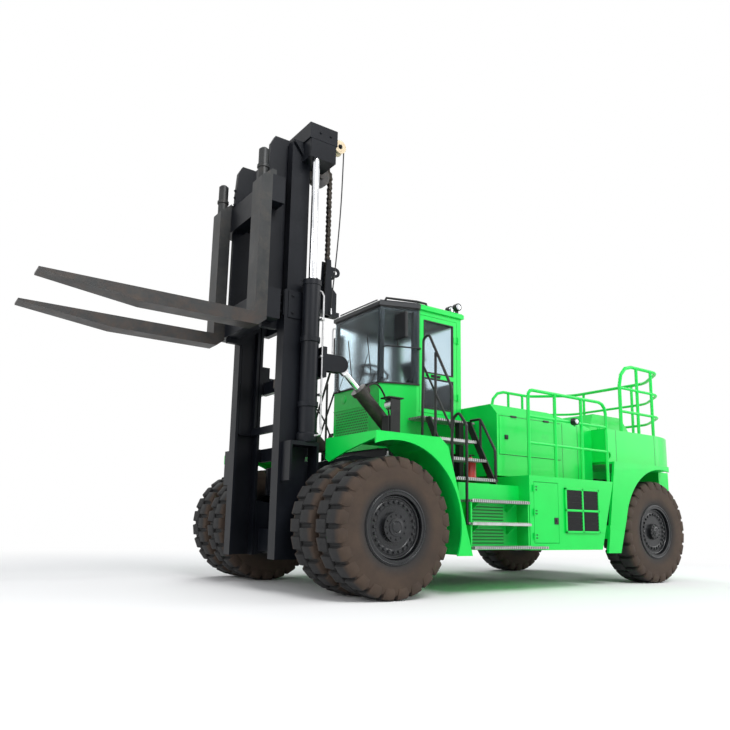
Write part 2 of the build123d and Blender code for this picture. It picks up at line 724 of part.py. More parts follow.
anchor_profile = ((-60, arm_z[1]), (130, arm_z[1]), (130, 4100), (115, 4500), (45, 4500), (20, 4100), (-60, 4020))
with BuildPart() as outer_mast:
    for piece in (outer_rail.part, mast_foot.part):
        add(piece)
        add(mirror(piece, about=Plane.XZ))
    for low, high in outer_beams:
        block(beam_x, (-rail_in - 100, rail_in + 100), (low, high))
        for side in (-1, 1):
            block((beam_x[1], rail_back), sorted((side * (rail_in + 10), side * (rail_in + 100))), (low, high))
    for side in (-1, 1):
        arm = sorted((side * (chain_y - chain_half - 35), side * (chain_y + chain_half + 35)))
        slot = sorted((side * (chain_y - chain_half - 15), side * (chain_y + chain_half + 15)))
        block((-110, beam_x[0]), arm, arm_z)
        block((chain_x - 45, chain_x + 45), slot, (arm_z[0] - 1, arm_z[1] + 1), Mode.SUBTRACT)
        for edge in (arm[1], slot[0]):
            with BuildSketch(side_plane(edge)):
                Polygon(*[(at(x), z) for x, z in anchor_profile], align=None)
                with Locations((at(-35), 4330)):
                    Circle(70)
                Polygon((at(-35), 4400), (at(60), 4400), (at(60), 4260), (at(-35), 4260), align=None)
                with Locations((at(-35), 4330)):
                    Circle(32, mode=Mode.SUBTRACT)
            extrude(amount=20)
save(outer_mast.part, "outer_mast")

with BuildPart() as lift_barrels:
    for side in (-1, 1):
        bar_z(lift_x, side * lift_y, (lift_base, lift_barrel_top), lift_radius)
        bar_z(lift_x, side * lift_y, (lift_barrel_top - 70, lift_barrel_top), lift_radius + 8)
        bar_z(lift_x, side * lift_y, (lift_base + 60, lift_barrel_top + 1), lift_rod + shaft_gap, Mode.SUBTRACT)
save(lift_barrels.part, "lift_barrels")

# Inner mast: channels that run inside the outer ones, tied by a box beam at the top
inner_back = rail_back + flange + slide_gap
inner_front = rail_front - flange - slide_gap
inner_out = rail_out - web - slide_gap
inner_in = rail_in + slide_gap
with BuildPart() as inner_mast:
    for side in (-1, 1):
        full = sorted((side * inner_in, side * inner_out))
        hollow = sorted((side * (inner_in - 1), side * (inner_out - inner_web)))
        block((inner_back, inner_front), full, (inner_bottom, inner_top))
        block((inner_back + inner_flange, inner_front - inner_flange), hollow, (inner_bottom, inner_top),
              Mode.SUBTRACT)
    for side in (-1, 1):
        cheek = sorted((side * inner_in, side * beam_half))
        block((beam_back + 20, beam_front - 20), cheek, (push_z, inner_top))
    block((beam_back, beam_front), (-beam_half, beam_half), (inner_top, beam_top))
    block((inner_back, inner_back + 50), (-inner_in, inner_in), (inner_bottom, inner_bottom + 100))
save(inner_mast.part, "inner_mast")

lift_rod_bottom = lift_base + 80 + lower_travel
with BuildPart() as lift_rods:
    for side in (-1, 1):
        bar_z(lift_x, side * lift_y, (lift_rod_bottom, push_z), lift_rod)
save(lift_rods.part, "lift_rods")

# Lift chains: the two straight runs and the turn over each sheave
sheave_x = 273
sheave_radius = sheave_x - chain_x
sheave_z = 5740
chain_half_thick = 30
front_run = sheave_x + sheave_radius
chain_end = (3780, 3820)
with BuildPart() as chains:
    for side in (-1, 1):
        span = sorted((side * (chain_y - chain_half), side * (chain_y + chain_half)))
        with BuildSketch(side_plane(span[1])):
            with Locations((at(sheave_x), sheave_z)):
                Circle(sheave_radius + chain_half_thick)
                Circle(sheave_radius - chain_half_thick, mode=Mode.SUBTRACT)
            with Locations((at(sheave_x), sheave_z - sheave_radius)):
                Rectangle(4 * sheave_radius, 2 * sheave_radius, mode=Mode.SUBTRACT)
        extrude(amount=2 * chain_half)
        block((chain_x - chain_half_thick, chain_x + chain_half_thick), span, (chain_end[0], sheave_z))
        block((front_run - chain_half_thick, front_run + chain_half_thick), span, (chain_end[1], sheave_z))
save(chains.part, "lift_chains")

# Sheaves: carried on a pin from the top beam
with BuildPart() as sheaves:
    for side in (-1, 1):
        bar_y(sheave_x, sheave_z, sorted((side * (chain_y - 42), side * (chain_y + 42))),
              sheave_radius - chain_half_thick)
        for y in (chain_y - 70, chain_y + 50):
            ear = sorted((side * y, side * (y + 20)))
            block((sheave_x - 60, sheave_x + 60), ear, (sheave_z - 60, inner_top))
        bar_y(sheave_x, sheave_z, sorted((side * (chain_y - 70), side * (chain_y + 70))), 40)
save(sheaves.part, "chain_sheaves")

# Carriage: side plates on rollers, with cross bars that the forks bear on
roller_heights = (3900, 5200)
bar_heights = ((3420, 3820), (5000, 5370))
with BuildPart() as carriage:
    for side in (-1, 1):
        outer = plate_out if side > 0 else -plate_in
        with BuildSketch(side_plane(outer)):
            Polygon((at(585), 3600), (at(585), 5500), (at(680), 5700), (at(770), 5760), (at(770), 6070), (at(990), 6070),
                    (at(1050), 5950), (at(shank_back - 40), 5600), (at(shank_back - 40), carriage_bottom),
                    (at(850), carriage_bottom), align=None)
        extrude(amount=plate_out - plate_in)
        for z in roller_heights:
            bar_y(roller_x, z, sorted((side * plate_out, side * (inner_out - inner_web - slide_gap))),
                  roller_radius)
    for low, high in bar_heights:
        block((930, shank_back), (-fork_in - fork_width, fork_in + fork_width), (low, high))
    for side in (-1, 1):
        for y in (chain_y - chain_half - 35, chain_y + chain_half + 12):
            cheek = sorted((side * y, side * (y + 23)))
            block((front_run - 28, front_run + 45), cheek, (5440, 5600))
    for side in (-1, 1):
        lug = sorted((side * (chain_y - chain_half - 35), side * plate_in))
        block((front_run + chain_half_thick + 8, 620), lug, (5440, 5600))
        outer_lug = sorted((side * (chain_y + chain_half + 12), side * plate_out))
        block((front_run + chain_half_thick + 8, 620), outer_lug, (5440, 5600))
save(carriage.part, "carriage")

# Forks: one profile, swept sideways, with a tapered blade
heel = shank_back + fork_thick
taper_start = 2660
tip_thick = 25
with BuildPart() as fork:
    with BuildSketch(side_plane(fork_in + fork_width)):
        Polygon((at(shank_back), 5450), (at(heel), shank_top), (at(heel), fork_top), (at(fork_reach), fork_top),
                (at(fork_reach), fork_top - tip_thick), (at(taper_start), fork_top - fork_thick),
                (at(shank_back + 110), fork_top - fork_thick), (at(shank_back), fork_top - fork_thick + 90),
                align=None)
    extrude(amount=fork_width)
    block((shank_back - 60, shank_back), (fork_in + 40, fork_in + fork_width - 20), (bar_heights[1][1], 5450))
    bar_z(1200, 660, (5300, 5760), 70)
    chamfer(fork.faces().sort_by(Axis.Z)[-1].edges(), 25)
save_pair(fork.part, "fork")

# Tilt cylinders: barrel on the frame's ears, rod to the mast's ears
tilt_run = Vector(tilt_mast[0] - tilt_frame[0], 0, tilt_mast[1] - tilt_frame[1])
tilt_length = tilt_run.length
tilt_stroke = 270
rod_start = tilt_neck + 60 + tilt_stroke
barrel_end = tilt_length - 425
tilt_axis = Plane(
    origin=(at(tilt_frame[0]), tilt_y, tilt_frame[1]),
    x_dir=(0, 1, 0), z_dir=tilt_run.normalized(),
)
with BuildPart() as tilt_barrel:
    with BuildSketch(tilt_axis.offset(tilt_neck)):
        Circle(tilt_radius)
    extrude(amount=barrel_end - tilt_neck)
    with BuildSketch(tilt_axis):
        Rectangle(2 * tilt_eye_half, 140)
    extrude(amount=tilt_neck)
    with BuildSketch(tilt_axis.offset(barrel_end - 60)):
        Circle(tilt_radius + 18)
    extrude(amount=60)
    with BuildSketch(side_plane(tilt_y + tilt_eye_half)):
        with Locations((at(tilt_frame[0]), tilt_frame[1])):
            Circle(100)
    extrude(amount=2 * tilt_eye_half)
    with BuildSketch(side_plane(tilt_y + tilt_eye_half)):
        with Locations((at(tilt_frame[0]), tilt_frame[1])):
            Circle(pin_radius + shaft_gap)
    extrude(amount=2 * tilt_eye_half, mode=Mode.SUBTRACT)
    with BuildSketch(tilt_axis.offset(tilt_neck + 40)):
        Circle(tilt_rod + shaft_gap)
    extrude(amount=barrel_end, mode=Mode.SUBTRACT)
save_pair(tilt_barrel.part, "tilt_barrel")

with BuildPart() as tilt_rod_part:
    with BuildSketch(tilt_axis.offset(rod_start)):
        Circle(tilt_rod)
    extrude(amount=tilt_length - rod_start - tilt_neck)
    with BuildSketch(tilt_axis.offset(tilt_length - tilt_neck - 2)):
        Rectangle(2 * tilt_eye_half, 110)
    extrude(amount=tilt_neck)
    with BuildSketch(side_plane(tilt_y + tilt_eye_half)):
        with Locations((at(tilt_mast[0]), tilt_mast[1])):
            Circle(95)
    extrude(amount=2 * tilt_eye_half)
    with BuildSketch(side_plane(tilt_y + tilt_eye_half)):
        with Locations((at(tilt_mast[0]), tilt_mast[1])):
            Circle(pin_radius + open_pin_gap)
    extrude(amount=2 * tilt_eye_half, mode=Mode.SUBTRACT)
save_pair(tilt_rod_part.part, "tilt_rod")

# Work lamps and mirrors on the cab and the guard rail
with BuildPart() as lamps:
    for side in (-1, 1):
        for y in (575, 745):
            block((-2180, -2140), sorted((side * (y - 15), side * (y + 15))),
                  (cab_top + roof_thick, cab_top + roof_thick + 60))
            bar_y(-2160, cab_top + roof_thick + 110, sorted((side * (y - 35), side * (y + 35))), 60)
        bar_y(-3230, rail_heights[1], sorted((side * (rail_y + 0.8 * rail_tube), side * (rail_y + 90))), 48)
save(lamps.part, "work_lamps")

mirror_z = (3480, 3860)
with BuildPart() as mirrors:
    tube([(-850, 622, 3380), (-850, 700, 3380), (-1345, 880, 3380), (-1345, cab_half, 3380)], 12, [20, 20])
    post(-1000, 755, (3380, mirror_z[0] + 60), 12)
    block((-1030, -985), (700, 960), mirror_z)
save_pair(mirrors.part, "mirror")

# Grilles on the side boxes: a back plate with two by two fields of slats
grille_x = ((-3680, -3355), (-3325, -3000))
grille_z = ((810, 1080), (1105, 1375))
slat_pitch = 45
with BuildPart() as grille:
    block((-3710, -2970), (box_face, box_face + 6), (780, 1405))
    for rear, ahead in grille_x:
        for low, high in grille_z:
            for step in range(6):
                slat = low + 10 + step * slat_pitch
                block((rear, ahead), (box_face, box_face + 18), (slat, slat + 20))
save_pair(grille.part, "box_grille")
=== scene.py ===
# %% [markdown]
# # A heavy electric forklift
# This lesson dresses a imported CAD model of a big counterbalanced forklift: twin front tyres, a raised
# two-stage mast, a walk-up cab and guard rails round the deck. The CAD model is the fixed frame. Every
# piece made here is in metres, in the same place as the CAD, and rides on one of its moving bodies.

# %% Load the frame
import json
import math

import bpy
from mathutils import Matrix, Vector


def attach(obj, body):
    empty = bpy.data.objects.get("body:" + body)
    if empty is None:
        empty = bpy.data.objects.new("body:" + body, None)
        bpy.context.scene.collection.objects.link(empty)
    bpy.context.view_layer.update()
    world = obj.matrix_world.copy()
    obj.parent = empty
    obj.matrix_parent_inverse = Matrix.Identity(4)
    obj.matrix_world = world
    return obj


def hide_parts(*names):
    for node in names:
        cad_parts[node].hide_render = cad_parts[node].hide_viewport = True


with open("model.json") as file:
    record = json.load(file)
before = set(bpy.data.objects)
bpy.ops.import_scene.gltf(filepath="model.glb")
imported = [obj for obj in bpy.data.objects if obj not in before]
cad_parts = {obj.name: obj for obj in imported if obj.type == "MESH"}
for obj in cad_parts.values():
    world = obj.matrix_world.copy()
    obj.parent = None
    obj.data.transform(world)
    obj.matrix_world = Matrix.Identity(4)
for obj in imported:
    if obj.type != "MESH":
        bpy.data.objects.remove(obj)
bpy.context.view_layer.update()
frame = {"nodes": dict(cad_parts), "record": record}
nodes = frame["nodes"]
bpy.context.scene.view_settings.view_transform = "Standard"
FRONT_AXLE, AXLE_Z = 1.66, 0.82
REAR_AXLE = -5.62


def at(station):
    """World X of a station, the distance ahead of the front axle, in metres."""
    return FRONT_AXLE + station


# %% [markdown]
# ## The camera
# The photograph was taken from low down beside the truck, with the lens tilted up a little. Its place was
# worked out from the axle centres, the step treads and the mast's edges. Blender's camera looks along its
# own -Z: it is rolled about that axis, raised about X until it looks ahead, and swung about Z to face the truck.

# %% Camera
CAMERA_PLACE = (6.536, 8.455, 0.846)
CAMERA_TURN = (-214.775, 100.166, 1.119)  # degrees: swing from +Y, rise from straight down, roll
FOCAL_PIXELS, PHOTO_PIXELS, SENSOR = 691.25, 730, 36

lens_data = bpy.data.cameras.new("camera")
camera = bpy.data.objects.new("camera", lens_data)
bpy.context.collection.objects.link(camera)
bpy.context.scene.camera = camera
pose = Matrix.Translation(CAMERA_PLACE)
for angle, axis in zip(CAMERA_TURN, "ZXZ"):
    pose @= Matrix.Rotation(math.radians(angle), 4, axis)
camera.matrix_world = pose
lens_data.sensor_width = SENSOR
lens_data.lens = FOCAL_PIXELS / PHOTO_PIXELS * SENSOR
lens_data.shift_x, lens_data.shift_y = -0.0017, 0.0484
lens_data.clip_end = 200
print("lens", round(lens_data.lens, 2), "mm")

# %% [markdown]
# ## Building shaders in code
# A shader is a graph of nodes. Two small classes keep it short to write: a Graph adds a node, fills its
# inputs and does sums on sockets, and a Paint is the Graph of a new material. It reads Object coordinates,
# so a pattern stays put on the machine and needs no image.


# %% Shader helpers
class Graph:
    """A node tree. Each value given may be a number, a colour or the output of another node."""

    def __init__(self, tree):
        self.tree = tree

    def plug(self, value, socket):
        """Link an output to a socket, or set the socket to a value."""
        if isinstance(value, bpy.types.NodeSocket):
            self.tree.links.new(value, socket)
        else:
            socket.default_value = value

    def node(self, kind, **values):
        """A node. Names in small letters are its settings, the others its inputs, with _ for a space."""
        made = self.tree.nodes.new("ShaderNode" + kind)
        for name, value in values.items():
            if name.islower():
                setattr(made, name, value)
            else:
                self.plug(value, made.inputs[name.replace("_", " ")])
        return made

    def maths(self, operation, *values):
        """One step of arithmetic."""
        made = self.node("Math", operation=operation)
        for value, socket in zip(values, made.inputs):
            self.plug(value, socket)
        return made.outputs[0]

    def above(self, value, limit):
        return self.maths("GREATER_THAN", value, limit)

    def below(self, value, limit):
        return self.maths("LESS_THAN", value, limit)

    def gap(self, value, other):
        """How far two values lie apart."""
        return self.maths("ABSOLUTE", self.maths("SUBTRACT", value, other))

    def all_of(self, *tests):
        """1 where every test is 1."""
        found = tests[0]
        for test in tests[1:]:
            found = self.maths("MULTIPLY", found, test)
        return found

    def ramp(self, value, low, high, start=0.0, end=1.0):
        """Stretch a value so that low becomes the start and high the end."""
        made = self.node("MapRange", Value=value, From_Min=low, From_Max=high, To_Min=start, To_Max=end)
        return made.outputs["Result"]

    def mix(self, factor, first, second):
        """Blend two colours by a factor."""
        made = self.node("Mix", data_type="RGBA")
        for value, socket in ((factor, 0), (first, 6), (second, 7)):
            self.plug((*value, 1) if isinstance(value, tuple) else value, made.inputs[socket])
        return made.outputs[2]


class Paint(Graph):
    """A new material, with the point being shaded in Object coordinates."""

    def __init__(self, name):
        self.material = bpy.data.materials.new(name)
        self.material.use_nodes = True
        super().__init__(self.material.node_tree)
        self.shader = self.tree.nodes["Principled BSDF"]
        self.place = self.node("TexCoord").outputs["Object"]

    def set(self, **values):
        """Fill inputs of the shader. What is the same all over goes straight on its own socket."""
        for name, value in values.items():
            self.plug(value, self.shader.inputs[name.replace("_", " ")])

    def noise(self, scale, detail, roughness=0.5):
        """Soft clouds between 0 and 1."""
        made = self.node("TexNoise", Vector=self.place, Scale=scale, Detail=detail, Roughness=roughness)
        return made.outputs["Fac"]

    def relief(self, height, strength, distance):
        """Bumps in the surface where a height pattern rises."""
        bump = self.node("Bump", Height=height, Strength=strength, Distance=distance)
        self.set(Normal=bump.outputs["Normal"])

    def split_place(self):
        """X, the size of Y, and Z of the point."""
        x, y, z = self.node("SeparateXYZ", Vector=self.place).outputs
        return x, self.maths("ABSOLUTE", y), z


print("shader helpers ready")

# %% [markdown]
# ## Floor and light
# A pale, plain studio keeps the eye on the machine. The floor takes the truck's shadow close by and fades
# to plain white further off, so it meets the white backdrop with no line. Light Path tells the floor and
# the world when the camera, a reflection or a pane of glass is looking, and only then are they white.


# %% Studio
def white_seen(graph):
    """1 where the camera, a reflection or a pane of glass is looking, and 0 for all other light."""
    ray = graph.node("LightPath").outputs
    seen = graph.maths("MAXIMUM", ray["Is Camera Ray"], ray["Is Glossy Ray"])
    return graph.maths("MAXIMUM", seen, ray["Is Transmission Ray"])


def blend_shaders(graph, factor, first, second, output):
    """Mix two shaders into an output by a factor."""
    pick = graph.node("MixShader")
    for value, socket in zip((factor, first.outputs[0], second.outputs[0]), pick.inputs):
        graph.plug(value, socket)
    graph.plug(pick.outputs[0], output.inputs["Surface"])


def floor_finish():
    """Pale floor that turns to plain white between 6 and 13 metres from the truck."""
    paint = Paint("pale_floor")
    paint.set(Base_Color=(0.88, 0.88, 0.88, 1), Roughness=0.95, Specular_IOR_Level=0.1)
    distance = paint.node("VectorMath", operation="LENGTH", Vector=paint.place).outputs["Value"]
    fade = paint.node("MapRange", interpolation_type="SMOOTHSTEP", From_Min=6.0, From_Max=13.0, Value=distance)
    white = paint.all_of(fade.outputs["Result"], white_seen(paint))
    blend_shaders(paint, white, paint.shader, paint.node("Emission"), paint.tree.nodes["Material Output"])
    return paint.material


bpy.ops.mesh.primitive_plane_add(size=160, location=(0, 0, 0))
floor = bpy.context.object
floor.name = "floor"
floor.data.materials.append(floor_finish())

world = bpy.data.worlds.new("studio")
bpy.context.scene.world = world
world.use_nodes = True
sky = Graph(world.node_tree)
sky.tree.nodes.clear()
soft_sky = sky.node("Background", Color=(0.95, 0.97, 1.0, 1), Strength=0.55)
white_sky = sky.node("Background", Color=(1, 1, 1, 1))
blend_shaders(sky, white_seen(sky), soft_sky, white_sky, sky.node("OutputWorld"))

# columns: name, place, what it faces, size in metres, power in watts
for name, place, aim, size, power in (
        ("key", (3, 14, 14), (0, 0, 2), 7, 2100), ("fill", (-12, 8, 7), (-1, 0, 2), 9, 700),
        ("front", (14, 3, 6), (2, 0, 3), 7, 380), ("back", (-4, -13, 12), (0, 0, 3), 8, 900)):
    light = bpy.data.lights.new(name, "AREA")
    light.size, light.energy = size, power
    lamp = bpy.data.objects.new(name, light)
    bpy.context.collection.objects.link(lamp)
    lamp.location = place
    lamp.rotation_euler = (Vector(aim) - Vector(place)).to_track_quat("-Z", "Y").to_euler()
print("studio ready")

# %% [markdown]
# ## Finishes
# One function makes every painted or bare surface: two tones in soft blotches, dust that settles in
# clouds, a gloss that varies and a fine grain. A solid that needs two paints gets one more step that asks
# where a point is: the cab's shell is green outside, grey inside and black round the windscreen.


# %% Paint that follows the cab, the steps and the forks
CAB_FRONT, CAB_CORNER, CAB_SEAM, CAB_REAR = -0.8, -1.33, -1.375, -2.2
CAB_FRONT_HALF, CAB_HALF = 0.6, 0.79
CAB_FLOOR, SILL = 2.36, 2.87
WALL = 0.02
GREEN = (0.0015, 0.6, 0.068)
STEP_PLATES = (-1.192, -2.228)
STEP_TOPS = (0.6, 0.895, 1.18)
TREAD = 0.032


def finish_of(name, base, second, scale, rough, metal=0.0, dust=None, dust_low=0.4, dust_high=0.75,
              bump=0.1, bump_scale=180.0, coat=0.0, shine=0.5, recolour=None):
    """A painted or bare surface with blotches, dust and a fine grain."""
    paint = Paint(name)
    blotch = paint.noise(scale, 6.0, 0.6)
    colour = paint.mix(paint.ramp(blotch, 0.35, 0.68), base, second)
    if dust:
        cloud = paint.noise(scale * 2.3, 8.0, 0.7)
        colour = paint.mix(paint.ramp(cloud, dust_low, dust_high), colour, dust)
    if recolour:
        colour = recolour(paint, colour)
    wear = paint.ramp(paint.ramp(blotch, 0.2, 0.8), 0, 1, max(rough - 0.1, 0.02), min(rough + 0.12, 1.0))
    paint.set(Base_Color=colour, Roughness=wear, Metallic=metal, Coat_Weight=coat, Specular_IOR_Level=shine)
    paint.relief(paint.noise(bump_scale, 3.0), bump, 0.002)
    return paint.material


def cab_paint(paint, colour):
    """Grey lining inside the shell, and black round the windscreen."""
    x, side, z = paint.split_place()
    slope = Vector((CAB_HALF - CAB_FRONT_HALF, CAB_FRONT - CAB_CORNER)).normalized()
    behind = paint.maths("MULTIPLY", paint.maths("SUBTRACT", at(CAB_FRONT), x), slope.x)
    within = paint.maths("MULTIPLY", paint.maths("SUBTRACT", CAB_FRONT_HALF, side), slope.y)
    inside = paint.all_of(paint.above(paint.maths("ADD", behind, within), 0.03),
                          paint.below(x, at(CAB_FRONT) - WALL), paint.above(x, at(CAB_REAR) + WALL),
                          paint.below(side, CAB_HALF - WALL), paint.above(z, CAB_FLOOR))
    lined = paint.mix(inside, colour, (0.1, 0.11, 0.12))
    band = paint.all_of(paint.above(x, at(CAB_SEAM)), paint.above(z, SILL - 0.012))
    return paint.mix(band, lined, (0.012, 0.014, 0.017))


def roof_paint(paint, colour):
    """The front of the roof is black, like the glass below it."""
    return paint.mix(paint.above(paint.split_place()[0], at(CAB_SEAM)), colour, (0.02, 0.022, 0.026))


def tread_paint(paint, colour):
    """Open grating on the treads with its holes as squares of painted shade, and green on the plates that carry
    the lower flight.
    """
    x, side, z = paint.split_place()
    bars = [paint.node("TexWave", bands_direction=way, Vector=paint.place, Scale=9.0) for way in "XY"]
    # the grating's holes are painted dark grey: painted shade where one would see through them
    hole_shade = paint.all_of(*(paint.above(wave.outputs["Fac"], 0.45) for wave in bars))
    grated = paint.mix(hole_shade, colour, (0.1, 0.1, 0.1))
    on_tread = near = 0.0
    for top in STEP_TOPS:
        here = paint.all_of(paint.below(z, top + 0.001), paint.above(z, top - TREAD - 0.001))
        on_tread = paint.maths("MAXIMUM", on_tread, here)
    for middle in STEP_PLATES:
        near = paint.maths("MAXIMUM", near, paint.below(paint.gap(x, at(middle)), 0.0125))
    plate = paint.all_of(near, paint.below(z, 1.2), paint.maths("SUBTRACT", 1.0, on_tread))
    return paint.mix(plate, grated, GREEN)


def fork_paint(paint, colour):
    """Rust and brown earth on the heel and the lower part of the forks."""
    low = paint.maths("SUBTRACT", 1.0, paint.ramp(paint.split_place()[2], 3.3, 3.75))
    rust = paint.all_of(low, paint.ramp(paint.noise(7.0, 9.0, 0.75), 0.42, 0.66))
    return paint.mix(paint.maths("MULTIPLY", rust, 0.6), colour, (0.065, 0.038, 0.025))


print("finish maker ready")

# %% [markdown]
# ## Paints, metals and cloth
# Each finish is one call with its own numbers: two near colours, how coarse the clouds between them are,
# how rough the surface is, and how much dust lies on it. A row is cheap to compare with the photograph.

# %% Paints, metals and cloth
ENAMEL = dict(dust=(0.012, 0.46, 0.07), dust_low=0.6, dust_high=1.0, bump=0.05, coat=0.08, shine=0.3)
THIN_DUST = dict(dust_low=0.55, dust_high=0.95)
GREENS = (GREEN, (0.003, 0.66, 0.08), 1.1)
green = finish_of("green_enamel", *GREENS, 0.34, **ENAMEL)
cab_green = finish_of("cab_enamel", *GREENS, 0.34, **ENAMEL, recolour=cab_paint)
roof_green = finish_of("roof_enamel", *GREENS, 0.36, **ENAMEL, recolour=roof_paint)
# a darker copy of the green: painted shade, used for the strips under the louvre lips
painted_shade_green = finish_of("painted_shade_enamel", (0.002, 0.13, 0.022), (0.003, 0.19, 0.032), 3.0, 0.6, bump=0.05)
charcoal = finish_of("charcoal_enamel", (0.003, 0.004, 0.0066), (0.0055, 0.007, 0.0105), 1.6, 0.42,
                     dust=(0.014, 0.015, 0.018), dust_low=0.6, dust_high=0.98, bump=0.08, shine=0.22)
rail_black = finish_of("black_rail_paint", (0.006, 0.0065, 0.007), (0.011, 0.0115, 0.012), 6.0, 0.4,
                       dust=(0.03, 0.029, 0.026), **THIN_DUST, bump=0.06, shine=0.35)
rim_black = finish_of("black_rim_paint", (0.006, 0.007, 0.0085), (0.011, 0.012, 0.014), 5.0, 0.3,
                      dust=(0.03, 0.026, 0.022), **THIN_DUST, coat=0.1, shine=0.4)
cylinder_brown = finish_of("dusty_cylinder_paint", (0.014, 0.012, 0.011), (0.028, 0.024, 0.02), 6.0, 0.5,
                           dust=(0.06, 0.05, 0.038), dust_low=0.45, dust_high=0.9, bump=0.12, shine=0.35)
grating = finish_of("galvanised_tread", (0.42, 0.43, 0.44), (0.56, 0.57, 0.58), 5.0, 0.5, metal=0.25,
                    dust=(0.34, 0.32, 0.3), bump=0.15, recolour=tread_paint)
fork_steel = finish_of("worn_fork_steel", (0.016, 0.018, 0.019), (0.03, 0.031, 0.031), 2.6, 0.46,
                       metal=0.2, dust=(0.055, 0.046, 0.037), dust_low=0.5, dust_high=0.9, bump=0.2,
                       bump_scale=90, shine=0.4, recolour=fork_paint)
cast = finish_of("cast_housing", (0.03, 0.031, 0.034), (0.05, 0.048, 0.046), 3.0, 0.6,
                 dust=(0.1, 0.085, 0.07), bump=0.3, bump_scale=70)
chrome = finish_of("chromed_rod", (0.72, 0.73, 0.75), (0.8, 0.81, 0.83), 6.0, 0.13, metal=1.0, bump=0.0)
bright_steel = finish_of("bright_steel", (0.48, 0.48, 0.49), (0.6, 0.6, 0.61), 14.0, 0.32, metal=0.9,
                         dust=(0.3, 0.27, 0.24), **THIN_DUST)
chain_steel = finish_of("oiled_chain", (0.03, 0.028, 0.026), (0.06, 0.054, 0.047), 9.0, 0.36, metal=0.8,
                        dust=(0.055, 0.042, 0.03), bump=0.2)
fabric = finish_of("seat_cloth", (0.02, 0.021, 0.024), (0.036, 0.037, 0.04), 14.0, 0.85, bump=0.5,
                   bump_scale=320)
plastic = finish_of("moulded_plastic", (0.01, 0.011, 0.013), (0.017, 0.018, 0.02), 5.0, 0.5, bump=0.2,
                    bump_scale=240, shine=0.35)
rubber_trim = finish_of("rubber_seal", (0.01, 0.01, 0.011), (0.018, 0.018, 0.018), 12.0, 0.7, bump=0.3,
                        bump_scale=260)
cream = finish_of("cream_nylon", (0.62, 0.5, 0.33), (0.7, 0.59, 0.41), 12.0, 0.5,
                  dust=(0.42, 0.32, 0.2), dust_low=0.5, dust_high=0.9)
red = finish_of("red_enamel", (0.5, 0.022, 0.016), (0.6, 0.03, 0.02), 7.0, 0.3,
                dust=(0.32, 0.03, 0.022), bump=0.05, coat=0.3)
amber = finish_of("amber_lens", (0.75, 0.22, 0.02), (0.82, 0.3, 0.03), 20.0, 0.2, bump=0.2, coat=0.5)
lens = finish_of("lamp_lens", (0.55, 0.58, 0.6), (0.68, 0.71, 0.73), 30.0, 0.12, metal=0.6, bump=0.3,
                 bump_scale=140, coat=0.6)
silvered = finish_of("mirror_glass", (0.62, 0.66, 0.7), (0.7, 0.73, 0.76), 3.0, 0.06, metal=1.0, bump=0.0)
print("paints ready")

# %% [markdown]
# ## Rubber and glass
# Tyre rubber is nearly black on the tread, where it is rubbed clean, and brown with dried earth on the
# wall, in rings that fade towards the rim. The distance from the wheel's axis comes from the point's own X
# and Z. The glass is clear to light but tinted, so that the cab shows pale blue where one looks through.


# %% Rubber with a dusty wall, and glass
def rubber_of(name, axle, middles):
    """Rubber for the tyres round one axle, from their middles along Y: dusty walls, dark tread and bead."""
    paint = Paint(name)
    x, side, z = paint.split_place()
    squares = [paint.maths("MULTIPLY", away, away)
               for away in (paint.gap(x, at(axle)), paint.gap(z, AXLE_Z))]
    radius = paint.maths("SQRT", paint.maths("ADD", *squares))
    cloud, grains = paint.noise(3.2, 8.0, 0.7), paint.noise(55.0, 5.0, 0.7)
    off = [paint.gap(side, middle) for middle in middles]
    off = paint.maths("MINIMUM", off[0], off[-1])
    shoulder = paint.maths("MAXIMUM", paint.ramp(off, 0.17, 0.235), paint.below(radius, 0.7))
    patchy = paint.maths("ADD", 0.55, paint.maths("MULTIPLY", cloud, 0.55))
    earth = paint.mix(cloud, (0.036, 0.023, 0.016), (0.084, 0.056, 0.039))
    fresh = paint.mix(grains, (0.014, 0.015, 0.016), (0.032, 0.031, 0.031))
    dusty = paint.all_of(paint.ramp(radius, 0.43, 0.56), shoulder, patchy)
    paint.set(Base_Color=paint.mix(dusty, fresh, earth), Roughness=0.82, Specular_IOR_Level=0.3)
    paint.relief(grains, 0.45, 0.003)
    return paint.material


def tinted_glass():
    """Blue-grey safety glass with a faint dusty film."""
    paint = Paint("tinted_glass")
    film = paint.noise(2.0, 5.0)
    tint = paint.mix(paint.ramp(film, 0.3, 0.8), (0.72, 0.83, 0.88), (0.8, 0.89, 0.93))
    paint.set(Base_Color=tint, Roughness=paint.ramp(film, -4.0, 14.0), Transmission_Weight=1.0, IOR=1.2)
    return paint.material


front_rubber = rubber_of("front_tyre_rubber", 0, (1.86, 1.274))
rear_rubber = rubber_of("rear_tyre_rubber", REAR_AXLE, (1.507,))
glass = tinted_glass()
print("rubber and glass ready")

# %% [markdown]
# ## Dress the CAD nodes
# Pieces whose CAD shape is already right only need their finish. The record gives each node a material
# slot. One table holds the finishes of each slot, the usual one first, and a second one names the few
# nodes that differ from it.

